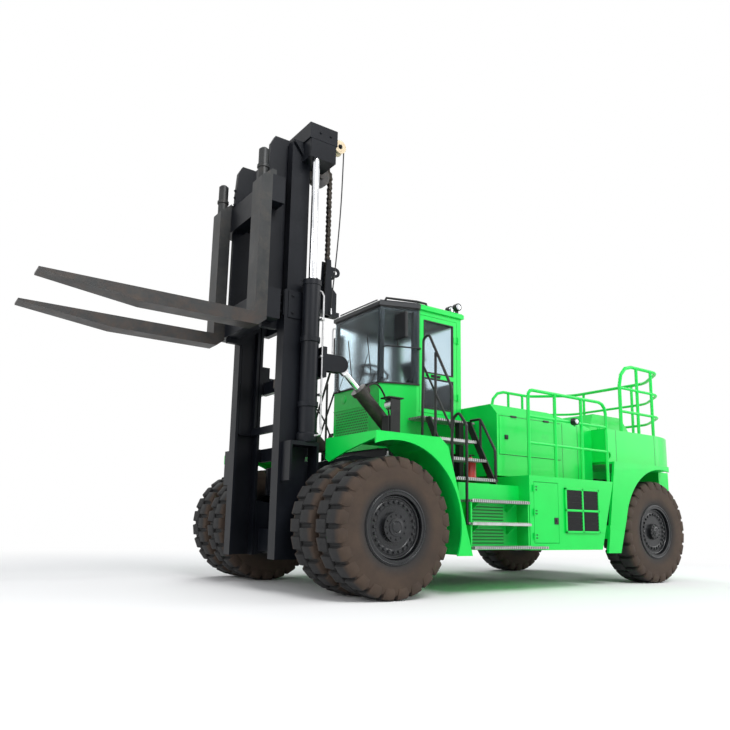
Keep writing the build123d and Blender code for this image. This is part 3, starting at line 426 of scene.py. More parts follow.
# %% Assign the finishes
finishes_of_slot = {
    # the second green of the paint slot is painted shade
    "green_paint": (green, painted_shade_green), "charcoal_paint": (charcoal, rail_black, rim_black, cylinder_brown),
    "grey_grating": (grating, cream), "fork_steel": (fork_steel,), "cast_grey": (cast,),
    "chromed_rod": (chrome, bright_steel, lens, silvered), "chain_steel": (chain_steel,),
    "tyre_rubber": (front_rubber, rear_rubber), "seat_fabric": (fabric,),
    "dark_plastic": (plastic, rubber_trim, red, amber), "tinted_glass": (glass,),
}
finish_for_node = {"cab_shell": cab_green, "cab_roof": roof_green}
for side in ("left", "right"):
    for part, finish in (("cab_door", cab_green), ("stair_rails", rail_black), ("front_rims", rim_black),
                         ("rear_rim", rim_black), ("rear_tyre", rear_rubber), ("tilt_barrel", cylinder_brown)):
        finish_for_node[f"{side}_{part}"] = finish
for entry in frame["record"]["subparts"]:
    materials = nodes[entry["node"]].data.materials
    materials.clear()
    materials.append(finish_for_node.get(entry["node"], finishes_of_slot[entry["material_slot"]][0]))

# %% [markdown]
# ## Workshop helpers
# Every new piece starts as a primitive and is shaped in edit mode. Operators act on all that is selected,
# so each helper clears the selection first. Places are written as (station, side, height), and a station is
# the distance ahead of the front axle, which is easy to measure on the photograph.

# %% Helpers for shaping
FORWARD, OUT, UP = (1, 0, 0), (0, 1, 0), (0, 0, 1)
# turns for flat plates that are drawn in X and Y: both stand Y up, one runs X forward, the other outwards
STANDING = Matrix(((1, 0, 0), (0, 0, 1), (0, 1, 0))).to_4x4()
FACING = Matrix(((0, 0, 1), (1, 0, 0), (0, 1, 0))).to_4x4()
shift = Matrix.Translation


def select_only(*pieces):
    """Select these pieces and nothing else."""
    bpy.ops.object.select_all(action="DESELECT")
    for piece in pieces:
        piece.select_set(True)
    bpy.context.view_layer.objects.active = pieces[0]


def fixed(piece):
    """Write a piece's place, turn and size into its mesh."""
    select_only(piece)
    bpy.ops.object.transform_apply(location=True, rotation=True, scale=True)
    return piece


def moved(piece, matrix):
    """Place a piece by a matrix, and write that into its mesh."""
    piece.matrix_world = matrix
    return fixed(piece)


def smoothed(piece, angle):
    """Shade a piece smooth, apart from edges sharper than an angle."""
    select_only(piece)
    bpy.ops.object.shade_smooth_by_angle(angle=math.radians(angle))
    return piece


def edited(piece, *steps):
    """Run steps in edit mode with everything selected."""
    select_only(piece)
    bpy.ops.object.mode_set(mode="EDIT")
    bpy.ops.mesh.select_all(action="SELECT")
    for step in steps:
        step()
    bpy.ops.object.mode_set(mode="OBJECT")
    return piece


def outward():
    """Merge doubled points, then turn every face outwards."""
    bpy.ops.mesh.select_all(action="SELECT")
    bpy.ops.mesh.remove_doubles(threshold=0.00005)
    bpy.ops.mesh.normals_make_consistent(inside=False)


def modified(piece, kind, **settings):
    """Add a modifier, set it and apply it."""
    select_only(piece)
    made = piece.modifiers.new(kind.lower(), kind)
    for name, value in settings.items():
        setattr(made, name, value)
    bpy.ops.object.modifier_apply(modifier=made.name)
    return piece


def eased(piece, edge, segments):
    """Round a piece's edges, unless the edge is 0."""
    return modified(piece, "BEVEL", width=edge, segments=segments) if edge else piece


print("shaping helpers ready")

# %% [markdown]
# ## Basic forms
# Nearly everything on a machine is a plate, a turned part, a ring or a bent bar. With one function for each,
# a part is written down as its sizes: two corners of a slab, or the rings of a bolt's head.


# %% Plates, turned parts, rings and rods
def slab(low, high, edge=0.004, segments=2):
    """A plate between two corners, with its edges eased."""
    bpy.ops.mesh.primitive_cube_add(size=1, location=[(a + b) / 2 for a, b in zip(low, high)])
    piece = bpy.context.object
    piece.scale = [b - a for a, b in zip(low, high)]
    return eased(fixed(piece), edge, segments)


def drawn(points, filled=True):
    """An outline in the XY plane: a circle whose corners are moved to these points."""
    bpy.ops.mesh.primitive_circle_add(vertices=len(points), radius=1, fill_type="NGON" if filled else "NOTHING")
    piece = bpy.context.object
    for corner, (x, y) in zip(piece.data.vertices, points):
        corner.co = (x, y, 0)
    return piece


def outline_plate(points, thick, edge=0.004, segments=2):
    """A flat plate in the XY plane with this outline, thickened upwards."""
    def thicken():
        bpy.ops.mesh.extrude_region_move(TRANSFORM_OT_translate={"value": (0, 0, thick)})

    return eased(edited(drawn(points), thicken, outward), edge, segments)


def aimed(piece, place, aim, angle):
    """Turn a piece's own Z along a direction, set it in place and smooth it."""
    piece.rotation_mode = "QUATERNION"
    piece.rotation_quaternion = Vector(aim).to_track_quat("Z", "Y")
    piece.location = place
    return smoothed(fixed(piece), angle)


def turned(rings, place, aim=UP, sides=32, angle=35):
    """A turned piece: a disc drawn out ring by ring, (along, radius), then aimed along a direction."""
    along, radius = rings[0]
    bpy.ops.mesh.primitive_circle_add(vertices=sides, radius=radius, fill_type="NGON", location=(0, 0, along))
    piece = fixed(bpy.context.object)

    def draw_out():
        for (last, before), (here, after) in zip(rings, rings[1:]):
            bpy.ops.mesh.extrude_region_move(TRANSFORM_OT_translate={"value": (0, 0, here - last)})
            bpy.ops.transform.resize(value=(after / before, after / before, 1), center_override=(0, 0, here))

    return aimed(edited(piece, draw_out, outward), place, aim, angle)


def spun(outline, place, aim=UP, steps=40):
    """A hollow ring: a closed outline, (along, radius), spun once about its axis."""
    piece = drawn([(radius, 0) for along, radius in outline], filled=False)
    for corner, (along, radius) in zip(piece.data.vertices, outline):
        corner.co.z = along

    def spin():
        bpy.ops.mesh.spin(steps=steps, angle=2 * math.pi, center=(0, 0, 0), axis=UP)

    return aimed(edited(piece, spin, outward), place, aim, 32)


def torus(radius, thick, place, turn=0.0, sides=64, round_sides=8):
    """A ring about an axis that points to the side, and may be turned about Z."""
    bpy.ops.mesh.primitive_torus_add(major_radius=radius, minor_radius=thick, major_segments=sides,
                                     minor_segments=round_sides, location=place,
                                     rotation=(math.pi / 2, 0, turn))
    return fixed(bpy.context.object)


def tube(name, points, radius, kind, detail):
    """A round bar as a curve: POLY bends sharply at each point, NURBS runs smoothly between them."""
    line = bpy.data.curves.new(name, "CURVE")
    line.dimensions = "3D"
    line.bevel_depth, line.bevel_resolution = radius, detail
    line.use_fill_caps = True
    spline = line.splines.new(kind)
    spline.points.add(len(points) - 1)
    for point, place in zip(spline.points, points):
        point.co = (*place, 1)
    piece = bpy.data.objects.new(name, line)
    bpy.context.collection.objects.link(piece)
    return piece


def rod(points, radius):
    """A bent round bar along a few points, as a mesh with closed ends."""
    select_only(tube("rod", points, radius, "POLY", 1))
    bpy.ops.object.convert(target="MESH")
    return smoothed(bpy.context.object, 50)


print("forms ready")

# %% [markdown]
# ## Copies, twins and finished pieces
# A copy gets a mesh of its own, so that it can be edited alone. A finished piece is shifted once from
# stations to X in its mesh, so that the object itself stays at the origin, unturned and unscaled.


# %% Helpers for joining, copying and showing
def joined(pieces):
    """One mesh from several."""
    select_only(*pieces)
    if len(pieces) > 1:
        bpy.ops.object.join()
    return bpy.context.object


def twin_of(piece, matrix):
    """A copy of a piece with a mesh of its own, moved by a matrix."""
    twin = piece.copy()
    twin.data = piece.data.copy()
    twin.data.transform(matrix)
    bpy.context.collection.objects.link(twin)
    return twin


def copies(piece, matrices):
    """Repeat a piece at each matrix and join the copies."""
    made = [twin_of(piece, matrix) for matrix in matrices]
    bpy.data.objects.remove(piece)
    return joined(made)


def mirrored(piece):
    """The right-hand twin of a left-hand mesh, with its faces turned outwards again."""
    twin = twin_of(piece, Matrix.Scale(-1, 4, OUT))
    twin.data.flip_normals()
    return twin


def around(centre, count, phase=0.0):
    """Matrices that turn about an axle, a line along Y through a centre."""
    there = shift(centre)
    return [there @ Matrix.Rotation(phase + 2 * math.pi * k / count, 4, "Y") @ there.inverted()
            for k in range(count)]


def hex_bolt(place, aim, radius):
    """A hexagon head on a washer."""
    washer = turned([(0, radius * 1.45), (radius * 0.25, radius * 1.45)], place, aim, 10)
    head = turned([(0, radius), (radius * 0.9, radius), (radius * 1.1, radius * 0.8)], place, aim, 6, 20)
    return joined([head, washer])


def bolts(places, aim, radius):
    return [hex_bolt(place, aim, radius) for place in places]


def shown(name, finish, pieces, body="chassis", replaces=()):
    """Join pieces into one, shift it from stations to X, paint it, and let it ride on its body."""
    piece = joined(pieces)
    piece.data.transform(shift((FRONT_AXLE, 0, 0)))
    piece.name = piece.data.name = name
    piece.data.materials.clear()
    piece.data.materials.append(finish)
    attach(piece, body)
    if replaces:
        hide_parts(*replaces)
    return piece


def pair(name, finish, pieces, body="chassis", replaces=()):
    """A left-hand piece and its mirror image. A body or node that starts with left_ has a right_ twin."""
    piece = joined(pieces)
    twin = mirrored(piece)
    shown(f"left_{name}", finish, [piece], body, replaces)
    shown(f"right_{name}", finish, [twin], body.replace("left_", "right_"),
          [node.replace("left_", "right_") for node in replaces])


print("all helpers ready")

# %% [markdown]
# ## Tyres
# A real tyre of this size is a smooth casing with deep lugs at each shoulder, half a pitch apart, and each
# lug wraps over the shoulder onto the wall. The casing is one outline spun about the axle; one lug is
# modelled, its edges eased, and then copied round. The CAD tyre stays for collision behind it.

# %% Six tyres
LUGS, LUG_LONG = 24, 0.168
# columns: half width, radius
CASING = ((0.19, 0.401), (0.212, 0.412), (0.222, 0.44), (0.236, 0.47), (0.246, 0.52), (0.25, 0.58),
          (0.2505, 0.63), (0.249, 0.68), (0.245, 0.72), (0.238, 0.752), (0.218, 0.768), (0.12, 0.774),
          (0.0, 0.776))
LUG = ((0.006, 0.768), (0.008, 0.809), (0.02, 0.8155), (0.15, 0.8162), (0.205, 0.8125), (0.234, 0.797),
       (0.25, 0.755), (0.253, 0.69), (0.244, 0.672), (0.2, 0.74))


def lug_ring(hub, side, phase):
    """One shoulder's row of lugs, each narrower at its top and on the wall."""
    lug = outline_plate([(side * width, radius) for width, radius in LUG], LUG_LONG, edge=0.009)
    for corner in lug.data.vertices:
        narrow = 0.9 if corner.co.y > 0.79 else 0.98
        corner.co.z = (corner.co.z - LUG_LONG / 2) * (narrow if corner.co.y > 0.74 else 0.7)
    return copies(moved(lug, shift(hub) @ FACING), around(hub, LUGS, phase))


def whole_tyre(hub):
    """A casing with a row of lugs on each shoulder."""
    outline = [(side * width, radius) for side in (1, -1)
               for width, radius in (CASING if side > 0 else CASING[-2::-1])]
    piece = joined([spun(outline, hub, OUT, 72), lug_ring(hub, 1, math.pi / LUGS), lug_ring(hub, -1, 0)])
    return smoothed(edited(piece, lambda: bpy.ops.mesh.normals_make_consistent(inside=False)), 32)


# columns: node, axle's station, middle of the tyre, body, rubber
for node, axle, side, body, rubber in (
        ("front_outer_tyre", 0, 1.86, "left_front_wheels", front_rubber),
        ("front_inner_tyre", 0, 1.274, "left_front_wheels", front_rubber),
        ("rear_tyre", REAR_AXLE, 1.507, "left_rear_wheel", rear_rubber)):
    pair(f"{node}_casing", rubber, [whole_tyre((axle, side, AXLE_Z))], body, replaces=[f"left_{node}"])

# %% [markdown]
# ## Wheel fittings
# The painted rim is a CAD node. What catches the eye on it is smaller: the split lock ring, the ring of
# wheel bolts on their pressed plate, and the hub's end cap with its own small bolts.


# %% Rings, bolts and caps of the wheels
def wheel_fittings(x, disc, cap, bolt_circle, cap_radius, rim_out):
    """Rings and bolts on one wheel's outer face, from the faces of its disc, hub cap and rim."""
    parts = []
    for side, radius, width, high in ((disc, 0.352, 0.016, 0.022), (disc, bolt_circle, 0.034, 0.01),
                                      (rim_out, 0.414, 0.01, 0.008)):
        ring = torus(radius, width, (x, side, AXLE_Z))
        for corner in ring.data.vertices:
            corner.co.y = side + (corner.co.y - side) * high / width
        parts.append(smoothed(ring, 60))
    # columns: face, distance from the axis, radius of the head, how many
    for side, away, radius, count in ((disc + 0.008, bolt_circle, 0.019, 24),
                                      (cap, cap_radius * 0.82, 0.011, 12)):
        parts.append(copies(hex_bolt((x, side, AXLE_Z + away), OUT, radius), around((x, 0, AXLE_Z), count)))
    dish = ((0, 0.62), (0.008, 0.6), (0.012, 0.42), (0.006, 0.36), (0.016, 0.3), (0.018, 0.1))
    parts.append(turned([(along, cap_radius * share) for along, share in dish], (x, cap, AXLE_Z), OUT))
    return parts


pair("front_wheel_fittings", rim_black, wheel_fittings(0, 2.035, 2.085, 0.285, 0.17, 2.0895),
     "left_front_wheels")
pair("rear_wheel_fittings", rim_black, wheel_fittings(REAR_AXLE, 1.68, 1.727, 0.275, 0.13, 1.7365),
     "left_rear_wheel")
print("wheel fittings made")

# %% [markdown]
# ## Leaf chains
# A lift chain is a stack of figure-eight plates on short pins. One link of plates is modelled as flat
# outlines with a thickness, then repeated along the chain's way: up behind the mast, over the sheave and
# down to the carriage. The stacked plates replace the plain CAD band.

# %% Lift chains
LINK, PLATE = 0.071, 0.01
CHAIN_Y = 0.495
SHEAVE, SHEAVE_RADIUS = (0.273, 5.74), 0.207
# columns: station of a straight run, height of its foot
CHAIN_RUNS = ((0.066, 3.78), (0.48, 3.82))
PLATE_ROWS = ((-0.034, -0.012, 0.01), (-0.023, -0.001, 0.021))


def link_plate(y):
    """One figure-eight plate, standing along the chain."""
    half, waist, end = LINK / 2, 0.021, 0.029
    lobe = [math.radians(36 * k) for k in range(6)]
    upper = [(end * math.cos(a), half + end * math.sin(a)) for a in lobe]
    outline = [*upper, (-waist, 0), *((-x, -z) for x, z in upper), (waist, 0)]
    return moved(outline_plate(outline, PLATE, edge=0), shift((0, y, 0)) @ STANDING)


def chain_stops():
    """A matrix for each link: its place, and how far it has turned over the sheave."""
    middle, top = SHEAVE
    rise, fall = ([(x, top - (k + 0.5) * LINK, 0.0) for k in range(int((top - foot) / LINK))]
                  for x, foot in CHAIN_RUNS)
    count = round(math.pi * SHEAVE_RADIUS / LINK)
    over = [(middle - SHEAVE_RADIUS * math.cos(a), top + SHEAVE_RADIUS * math.sin(a), a)
            for a in (math.pi * (k + 0.5) / count for k in range(count))]
    return [shift((x, CHAIN_Y, z)) @ Matrix.Rotation(angle, 4, "Y") for x, z, angle in rise + over + fall]


stops = chain_stops()
chain = [copies(joined([link_plate(y) for y in row]), stops[start::2]) for start, row in enumerate(PLATE_ROWS)]
pin = turned([(-0.035, 0.009), (0.035, 0.009)], (0, 0, LINK / 2), OUT, 8)
left_chain = joined([*chain, copies(pin, stops)])
right_chain = mirrored(left_chain)
shown("left_leaf_chain", chain_steel, [left_chain], "mast_inner", replaces=["lift_chains"])
shown("right_leaf_chain", chain_steel, [right_chain], "mast_inner")
print("chains of", len(stops), "links each")

# %% [markdown]
# ## Wrap-round cab glass
# The cab's front is one bent band of dark glass with no frame outside it: the posts behind it are painted
# black. Its plan is a path round the front of the cab; two copies of that path, a glass thickness apart,
# make the outline of one plate, which is then pulled up from the sill to the roof.

# %% Bent glass and its rubber edges
CAB_SIDE = ((-1.372, CAB_HALF), (CAB_CORNER, CAB_HALF), (CAB_FRONT, CAB_FRONT_HALF))
CAB_PATH = [Vector(point) for point in (*CAB_SIDE, *((x, -y) for x, y in reversed(CAB_SIDE)))]
CORNER_CUT, CORNER_STEPS = 0.035, 5


def eased_path():
    """The path round the cab, with each corner turned into a small curve."""
    path = [CAB_PATH[0]]
    for before, corner, after in zip(CAB_PATH, CAB_PATH[1:], CAB_PATH[2:]):
        start = corner + (before - corner).normalized() * CORNER_CUT
        end = corner + (after - corner).normalized() * CORNER_CUT
        for t in (k / CORNER_STEPS for k in range(CORNER_STEPS + 1)):
            path.append(start * (1 - t) ** 2 + corner * 2 * t * (1 - t) + end * t * t)
    return [*path, CAB_PATH[-1]]


def set_out(path, gap):
    """The path moved outwards by a gap, square to its own run."""
    runs = [(after - before).normalized()
            for before, after in zip([path[0], *path], [*path[1:], path[-1]])]
    return [tuple(here + Vector((run.y, -run.x)) * -gap) for here, run in zip(path, runs)]


def cab_band(low, high, near, far):
    """A band round the front of the cab between two heights and two distances from the shell."""
    path = eased_path()
    band = outline_plate([*set_out(path, far), *reversed(set_out(path, near))], high - low, edge=0)
    return moved(band, shift((0, 0, low)))


def frame_bars(x_span, z_span, y_span, width):
    """Four bars round an opening in a side wall."""
    (x0, x1), (z0, z1), (y0, y1) = x_span, z_span, y_span
    bars = [slab((x0 - width, y0, z), (x1 + width, y1, z + width), 0.003) for z in (z0 - width, z1)]
    return bars + [slab((x, y0, z0), (x + width, y1, z1), 0.003) for x in (x0 - width, x1)]


rear_pane = slab((-2.182, -0.68, 3.0), (-2.172, 0.68, 3.9), 0.002)
shown("cab_panes", glass, [cab_band(SILL - 0.008, 3.99, 0.013, 0.019), rear_pane], replaces=["cab_glass"])
shown("cab_glass_seal", rubber_trim,
      [cab_band(SILL - 0.026, SILL - 0.004, 0.0, 0.024), cab_band(3.985, 4.002, 0.0, 0.022)])
seals = [bar for z_span in ((3.078, 3.842), (2.543, 2.972))
         for bar in frame_bars((-2.022, -1.478), z_span, (0.758, 0.7965), 0.02)]
pair("door_pane_seals", rubber_trim, seals, "left_door")
pair("door_handle", plastic,
     [rod([(-1.62, 0.795, 3.024), (-1.63, 0.83, 3.024), (-1.75, 0.83, 3.024), (-1.76, 0.795, 3.024)], 0.009),
      slab((-1.78, 0.788, 3.002), (-1.6, 0.797, 3.046), 0.003),
      turned([(0, 0.016), (0.01, 0.016), (0.012, 0.011)], (-1.52, 0.79, 3.024), OUT, 16)], "left_door")
print("cab glazed")

# %% [markdown]
# ## Cab fittings
# Wipers, the grab bar, the roof's edge rail, a panel lip, a round cover and the perforated intake on the
# cab's front break up large plain faces. The intake's holes are shallow dark discs of painted shade, one
# modelled and then repeated on a grid, which costs far fewer faces than holes cut through the shell.


# %% Fittings on the cab's outside
def wiper(side):
    """A wiper from its pivot, with an arm that stands off the glass and a leaning blade."""
    reach, lift, blade = Vector((0.018, 0, 0.44)), Vector((0.02, 0, 0)), Vector((0, -0.12, 0.62))
    pivot = Vector((CAB_FRONT + 0.018, side, 2.86))
    tip = pivot + reach + Vector((0, 0.26 if side > 0 else 0.3, 0))
    return [rod([pivot, pivot + lift, tip + lift], 0.006), rod([tip - blade / 2, tip + blade / 2], 0.008),
            turned([(0, 0.026), (0.02, 0.026), (0.03, 0.016)], pivot, lift, 16)]


shown("front_wipers", rail_black, wiper(0.12) + wiper(-0.42))
pair("roof_edge_rail", rail_black, [rod([(-0.86, 0.64, 4.08), (-0.87, 0.648, 4.112), (-1.33, 0.785, 4.112),
                                         (-1.5, 0.79, 4.112), (-1.51, 0.79, 4.08)], 0.019)])
shown("roof_wiper_box", plastic, [slab((-0.9, -0.5, 4.084), (-0.8, 0.5, 4.118), 0.012)])

grab = rod([(-0.86, 0.625, 3.25), (-0.8, 0.69, 3.25), (-0.8, 0.7, 3.3), (-0.8, 0.7, 3.88),
            (-0.8, 0.69, 3.93), (-0.86, 0.625, 3.93)], 0.011)
shown("right_grab_bar", bright_steel, [mirrored(grab)])
bpy.data.objects.remove(grab)

shown("cab_front_trim", green,
      [slab((-0.802, -0.6, 2.548), (-0.79, 0.6, 2.56), 0.002),
       slab((-0.802, -0.6, 2.12), (-0.792, 0.6, 2.13), 0.002),
       slab((-0.802, 0.374, 2.13), (-0.794, 0.386, 2.548), 0.002),
       turned([(0, 0.062), (0.008, 0.06), (0.01, 0.045)], (CAB_FRONT, -0.32, 2.72), FORWARD, 28)])
# the intake's holes are dark discs on the face, not openings: painted shade
hole_shade = turned([(0, 0.0125), (0.0012, 0.0125)], (CAB_FRONT, 0, 0), FORWARD, 8)
grid = [shift((0, -0.52 + 0.045 * column + 0.0225 * (row % 2), 2.18 + 0.04 * row))
        for row in range(9) for column in range(19)]
shown("cab_intake_hole_shade", rubber_trim, [copies(hole_shade, grid)])
print("cab fittings made")

# %% [markdown]
# ## Driver's seat and cab lining
# The seat is three padded forms on a sprung base. A cushion is a finely divided block whose faces are
# crowned, whose sides pull in between the corners and whose top has sewn channels. The lining, the side
# console and a display make the cab read as a workplace through the glass.


# %% Padded seat
def cushion(size, crown, place, lean=0.0):
    """A crowned cushion with its sides drawn in between the corners, leaned back by an angle."""
    bpy.ops.mesh.primitive_cube_add(size=2, location=(0, 0, 0))
    piece = edited(bpy.context.object, lambda: bpy.ops.mesh.subdivide(number_cuts=9))
    for corner in piece.data.vertices:
        u, v, w = corner.co
        full = (1 - u * u) * (1 - v * v)
        channel = 0.0035 * (1 - abs(w)) + 0.004 * (abs(math.sin(math.pi * 2.5 * v)) ** 0.5) * (w > 0.9)
        swell = (crown if w > 0 else -0.2 * crown) * full * abs(w) + channel * full
        corner.co = (size[0] / 2 * u * (1 - 0.05 * (1 - v * v)) * (1 - 0.06 * w * w),
                     size[1] / 2 * v * (1 - 0.05 * (1 - u * u)) * (1 - 0.06 * w * w),
                     size[2] / 2 * w + swell)
    modified(piece, "SUBSURF", levels=1, render_levels=1)
    select_only(piece)
    bpy.ops.object.shade_smooth()
    return moved(piece, shift(place) @ Matrix.Rotation(lean, 4, "Y"))


LEAN = math.radians(-75)
# columns: piece, length, width and thickness, crown, place, lean
for name, size, crown, place, lean in (
        ("seat_cushion", (0.46, 0.48, 0.11), 0.022, (-1.68, 0, 2.815), 0.0),
        ("back_cushion", (0.56, 0.46, 0.1), 0.022, (-1.915, 0, 3.17), LEAN),
        ("head_cushion", (0.15, 0.26, 0.08), 0.015, (-2.005, 0, 3.5), LEAN)):
    pad = shown(name, fabric, [cushion(size, crown, place, lean)])

folds = [slab((-1.87 + 0.008 * (k % 2), -0.19, 2.46 + 0.06 * k),
              (-1.53 - 0.008 * (k % 2), 0.19, 2.52 + 0.06 * k), 0.014) for k in range(4)]
shown("seat_base", plastic, [slab((-1.88, -0.2, 2.4), (-1.52, 0.2, 2.46), 0.01), *folds,
                             slab((-1.9, -0.22, 2.7), (-1.47, 0.22, 2.765), 0.012)],
      replaces=["driver_seat"])
pair("armrest", plastic, [slab((-1.86, 0.27, 3.0), (-1.52, 0.34, 3.05), 0.018, 3),
                          rod([(-1.86, 0.3, 2.8), (-1.84, 0.3, 3.0)], 0.014)])
shown("cab_lining", plastic, [slab((-2.14, -0.72, 3.955), (-1.3, 0.72, 3.992), 0.01),
                              slab((-1.31, -0.6, 3.955), (-0.87, 0.6, 3.992), 0.01),
                              slab((-2.1, -0.7, 2.4), (-0.9, 0.55, 2.412)),
                              slab((-2.14, -0.74, 2.42), (-1.38, -0.42, 2.95), 0.02),
                              slab((-1.62, -0.42, 2.95), (-1.46, -0.3, 2.97), 0.006)])
shown("cab_controls", plastic,
      [slab((-1.08, -0.4, 3.1), (-1.05, -0.14, 3.3), 0.01, 3),
       rod([(-1.06, -0.27, 3.1), (-1.02, -0.27, 2.88)], 0.012),
       turned([(0, 0.022), (0.03, 0.03), (0.05, 0.02)], (-1.3, -0.5, 2.95), UP, 14),
       rod([(-1.5, -0.5, 2.95), (-1.48, -0.5, 3.1)], 0.01),
       turned([(0, 0.015), (0.02, 0.026), (0.045, 0.022), (0.055, 0.01)], (-1.48, -0.5, 3.09), UP, 14)])
print("seat and lining made")

# %% [markdown]
# ## Hoses
# Hydraulic hoses are curves: each is one smooth NURBS line through a few points, with its thickness
# given. One hangs from a nylon pulley behind the mast's top beam; the others feed the
# tilt cylinders. A curve keeps its round section at any bend.


# %% Hoses and their pulleys
def hose(name, body, points, diameter):
    """A hose along a smooth line, and its mirror image on the other side."""
    for side, prefix in ((1, "left"), (-1, "right")):
        route = [(at(station), side * y, z) for station, y, z in points]
        piece = tube(f"{prefix}_{name}", route, diameter / 2, "NURBS", 3)
        spline = piece.data.splines[0]
        spline.order_u = 3
        spline.use_endpoint_u = True
        piece.data.materials.append(rubber_trim)
        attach(piece, body.replace("left", prefix))


hose("mast_hose", "mast_inner",
     [(0.21, 0.75, 6.02), (0.206, 0.75, 6.08), (0.193, 0.75, 6.1385), (0.1385, 0.75, 6.193),
      (0.0615, 0.75, 6.193), (0.007, 0.75, 6.1385), (0.003, 0.75, 6.07), (0.002, 0.745, 5.9),
      (0.01, 0.73, 5.2), (0.03, 0.665, 4.4), (0.042, 0.604, 3.95), (0.04, 0.588, 3.77)],
     0.018)
hose("tilt_hose", "left_tilt_cylinder",
     [(-0.331, 0.955, 2.652), (-0.4, 0.955, 2.728), (-0.56, 0.93, 2.74), (-0.76, 0.86, 2.52),
      (-0.86, 0.79, 2.22), (-0.878, 0.735, 2.04), (-0.878, 0.722, 1.86)],
     0.026)
drum = ((0, 0.098), (0.008, 0.098), (0.02, 0.0835), (0.1, 0.0835), (0.112, 0.098), (0.12, 0.098))
pair("hose_pulley", cream, [turned(drum, (0.1, 0.69, 6.1), OUT, 40)], "mast_inner")
pair("pulley_bracket", charcoal, [slab((0.03, 0.668, 6.045), (0.232, 0.684, 6.16), 0.006),
                                  hex_bolt((0.1, 0.812, 6.1), OUT, 0.022),
                                  turned([(0, 0.018), (0.16, 0.018)], (0.1, 0.66, 6.1), OUT, 16),
                                  slab((0.2, 0.684, 6.05), (0.232, 0.9, 6.14), 0.006)], "mast_inner")
pair("hose_bulkhead", bright_steel,
     [turned([(0, 0.019), (0.03, 0.019), (0.034, 0.014), (0.07, 0.014)], (-0.878, 0.722, 1.79), UP, 12),
      slab((-0.91, 0.699, 1.785), (-0.846, 0.745, 1.797), 0.003)])
pair("cylinder_port", cylinder_brown,
     [slab((-0.375, 0.92, 2.585), (-0.295, 0.99, 2.655), 0.008),
      turned([(0, 0.021), (0.03, 0.021), (0.034, 0.016), (0.06, 0.016)],
             (-0.325, 0.955, 2.63), (-0.67, 0, 0.74), 12)], "left_tilt_cylinder")
pair("hose_end_fitting", bright_steel,
     [turned([(0, 0.015), (0.05, 0.015), (0.054, 0.011), (0.085, 0.011)], (0.04, 0.588, 3.7), UP, 12)],
     "mast_inner")
print("hoses and pulleys made")

# %% [markdown]
# ## Fittings on the mast
# Bands clamp each lift cylinder to its channel, a steel pipe feeds it from below, bolted wear plates guide
# the inner mast, and small gussets stiffen the top beam. They are thin and many, so each kind is modelled
# once and copied, and each group is one mesh.

# %% Clamps, pipes, wear plates and gussets
LIFT = Vector((0.525, 0.885))


def clamp(height):
    """A band round the lift cylinder with its plate, block and bolts on the channel."""
    x, y = LIFT
    band = [(0, 0.114), (0, 0.128), (0.004, 0.131), (0.066, 0.131), (0.07, 0.128), (0.07, 0.114)]
    return [spun(band, (x, y, height)),
            slab((x - 0.06, 0.76, height - 0.02), (x + 0.06, 0.785, height + 0.09), 0.005),
            slab((x - 0.06, 0.985, height + 0.005), (x + 0.06, 1.012, height + 0.065), 0.006),
            *bolts([(x + away, 1.0, height + 0.035) for away in (-0.04, 0.04)], OUT, 0.012)]


foot_band = [(0, 0.114), (0, 0.128), (0.02, 0.134), (0.1, 0.134), (0.12, 0.12), (0.12, 0.114)]
head_bolts = [(LIFT.x + 0.118 * math.cos(a), LIFT.y + 0.118 * math.sin(a), 3.988)
              for a in (math.pi / 4 * k for k in range(8))]
pair("cylinder_clamps", charcoal, [*clamp(2.3), *clamp(3.15), spun(foot_band, (*LIFT, 1.852)),
                                   *bolts(head_bolts, UP, 0.011)], "mast_outer")

pipe = rod([(0.5, 1.0, 1.93), (0.46, 1.03, 1.93), (0.42, 1.03, 1.95), (0.4, 1.02, 2.0),
            (0.4, 1.0, 2.1), (0.4, 0.99, 3.78), (0.42, 0.97, 3.84), (0.455, 0.94, 3.86)], 0.013)
pair("lift_pipe", bright_steel, [pipe, *(slab((0.385, 0.93, z), (0.43, 1.012, z + 0.03))
                                         for z in (2.45, 2.95, 3.45))], "mast_outer")
pair("mast_wear_plates", charcoal,
     [slab((0.52, 0.76, 3.47), (0.8, 0.776, 3.84), 0.006), slab((0.845, 0.6, 3.5), (0.858, 0.745, 3.84)),
      *bolts([(x, 0.776, z) for x in (0.58, 0.74) for z in (3.54, 3.77)], OUT, 0.017),
      *bolts([(0.858, 0.672, z) for z in (3.56, 3.67, 3.78)], FORWARD, 0.015),
      *(slab((0.44, 0.7, z), (0.472, 0.76, z + 0.18)) for z in (1.7, 2.68, 3.58))], "mast_outer")
gusset = outline_plate([(0, 0), (0.16, 0.2), (0, 0.2)], 0.016, edge=0.002)
pair("top_beam_gussets", charcoal,
     [moved(gusset, shift((0.645, 0.74, 5.8)) @ STANDING),
      slab((0.64, 0.7, 5.72), (0.652, 0.93, 6.0), 0.003), slab((0.23, 0.6, 5.985), (0.67, 0.95, 6.0), 0.003),
      *bolts([(x, 0.945, 6.1) for x in (0.34, 0.5)], OUT, 0.015)], "mast_inner")

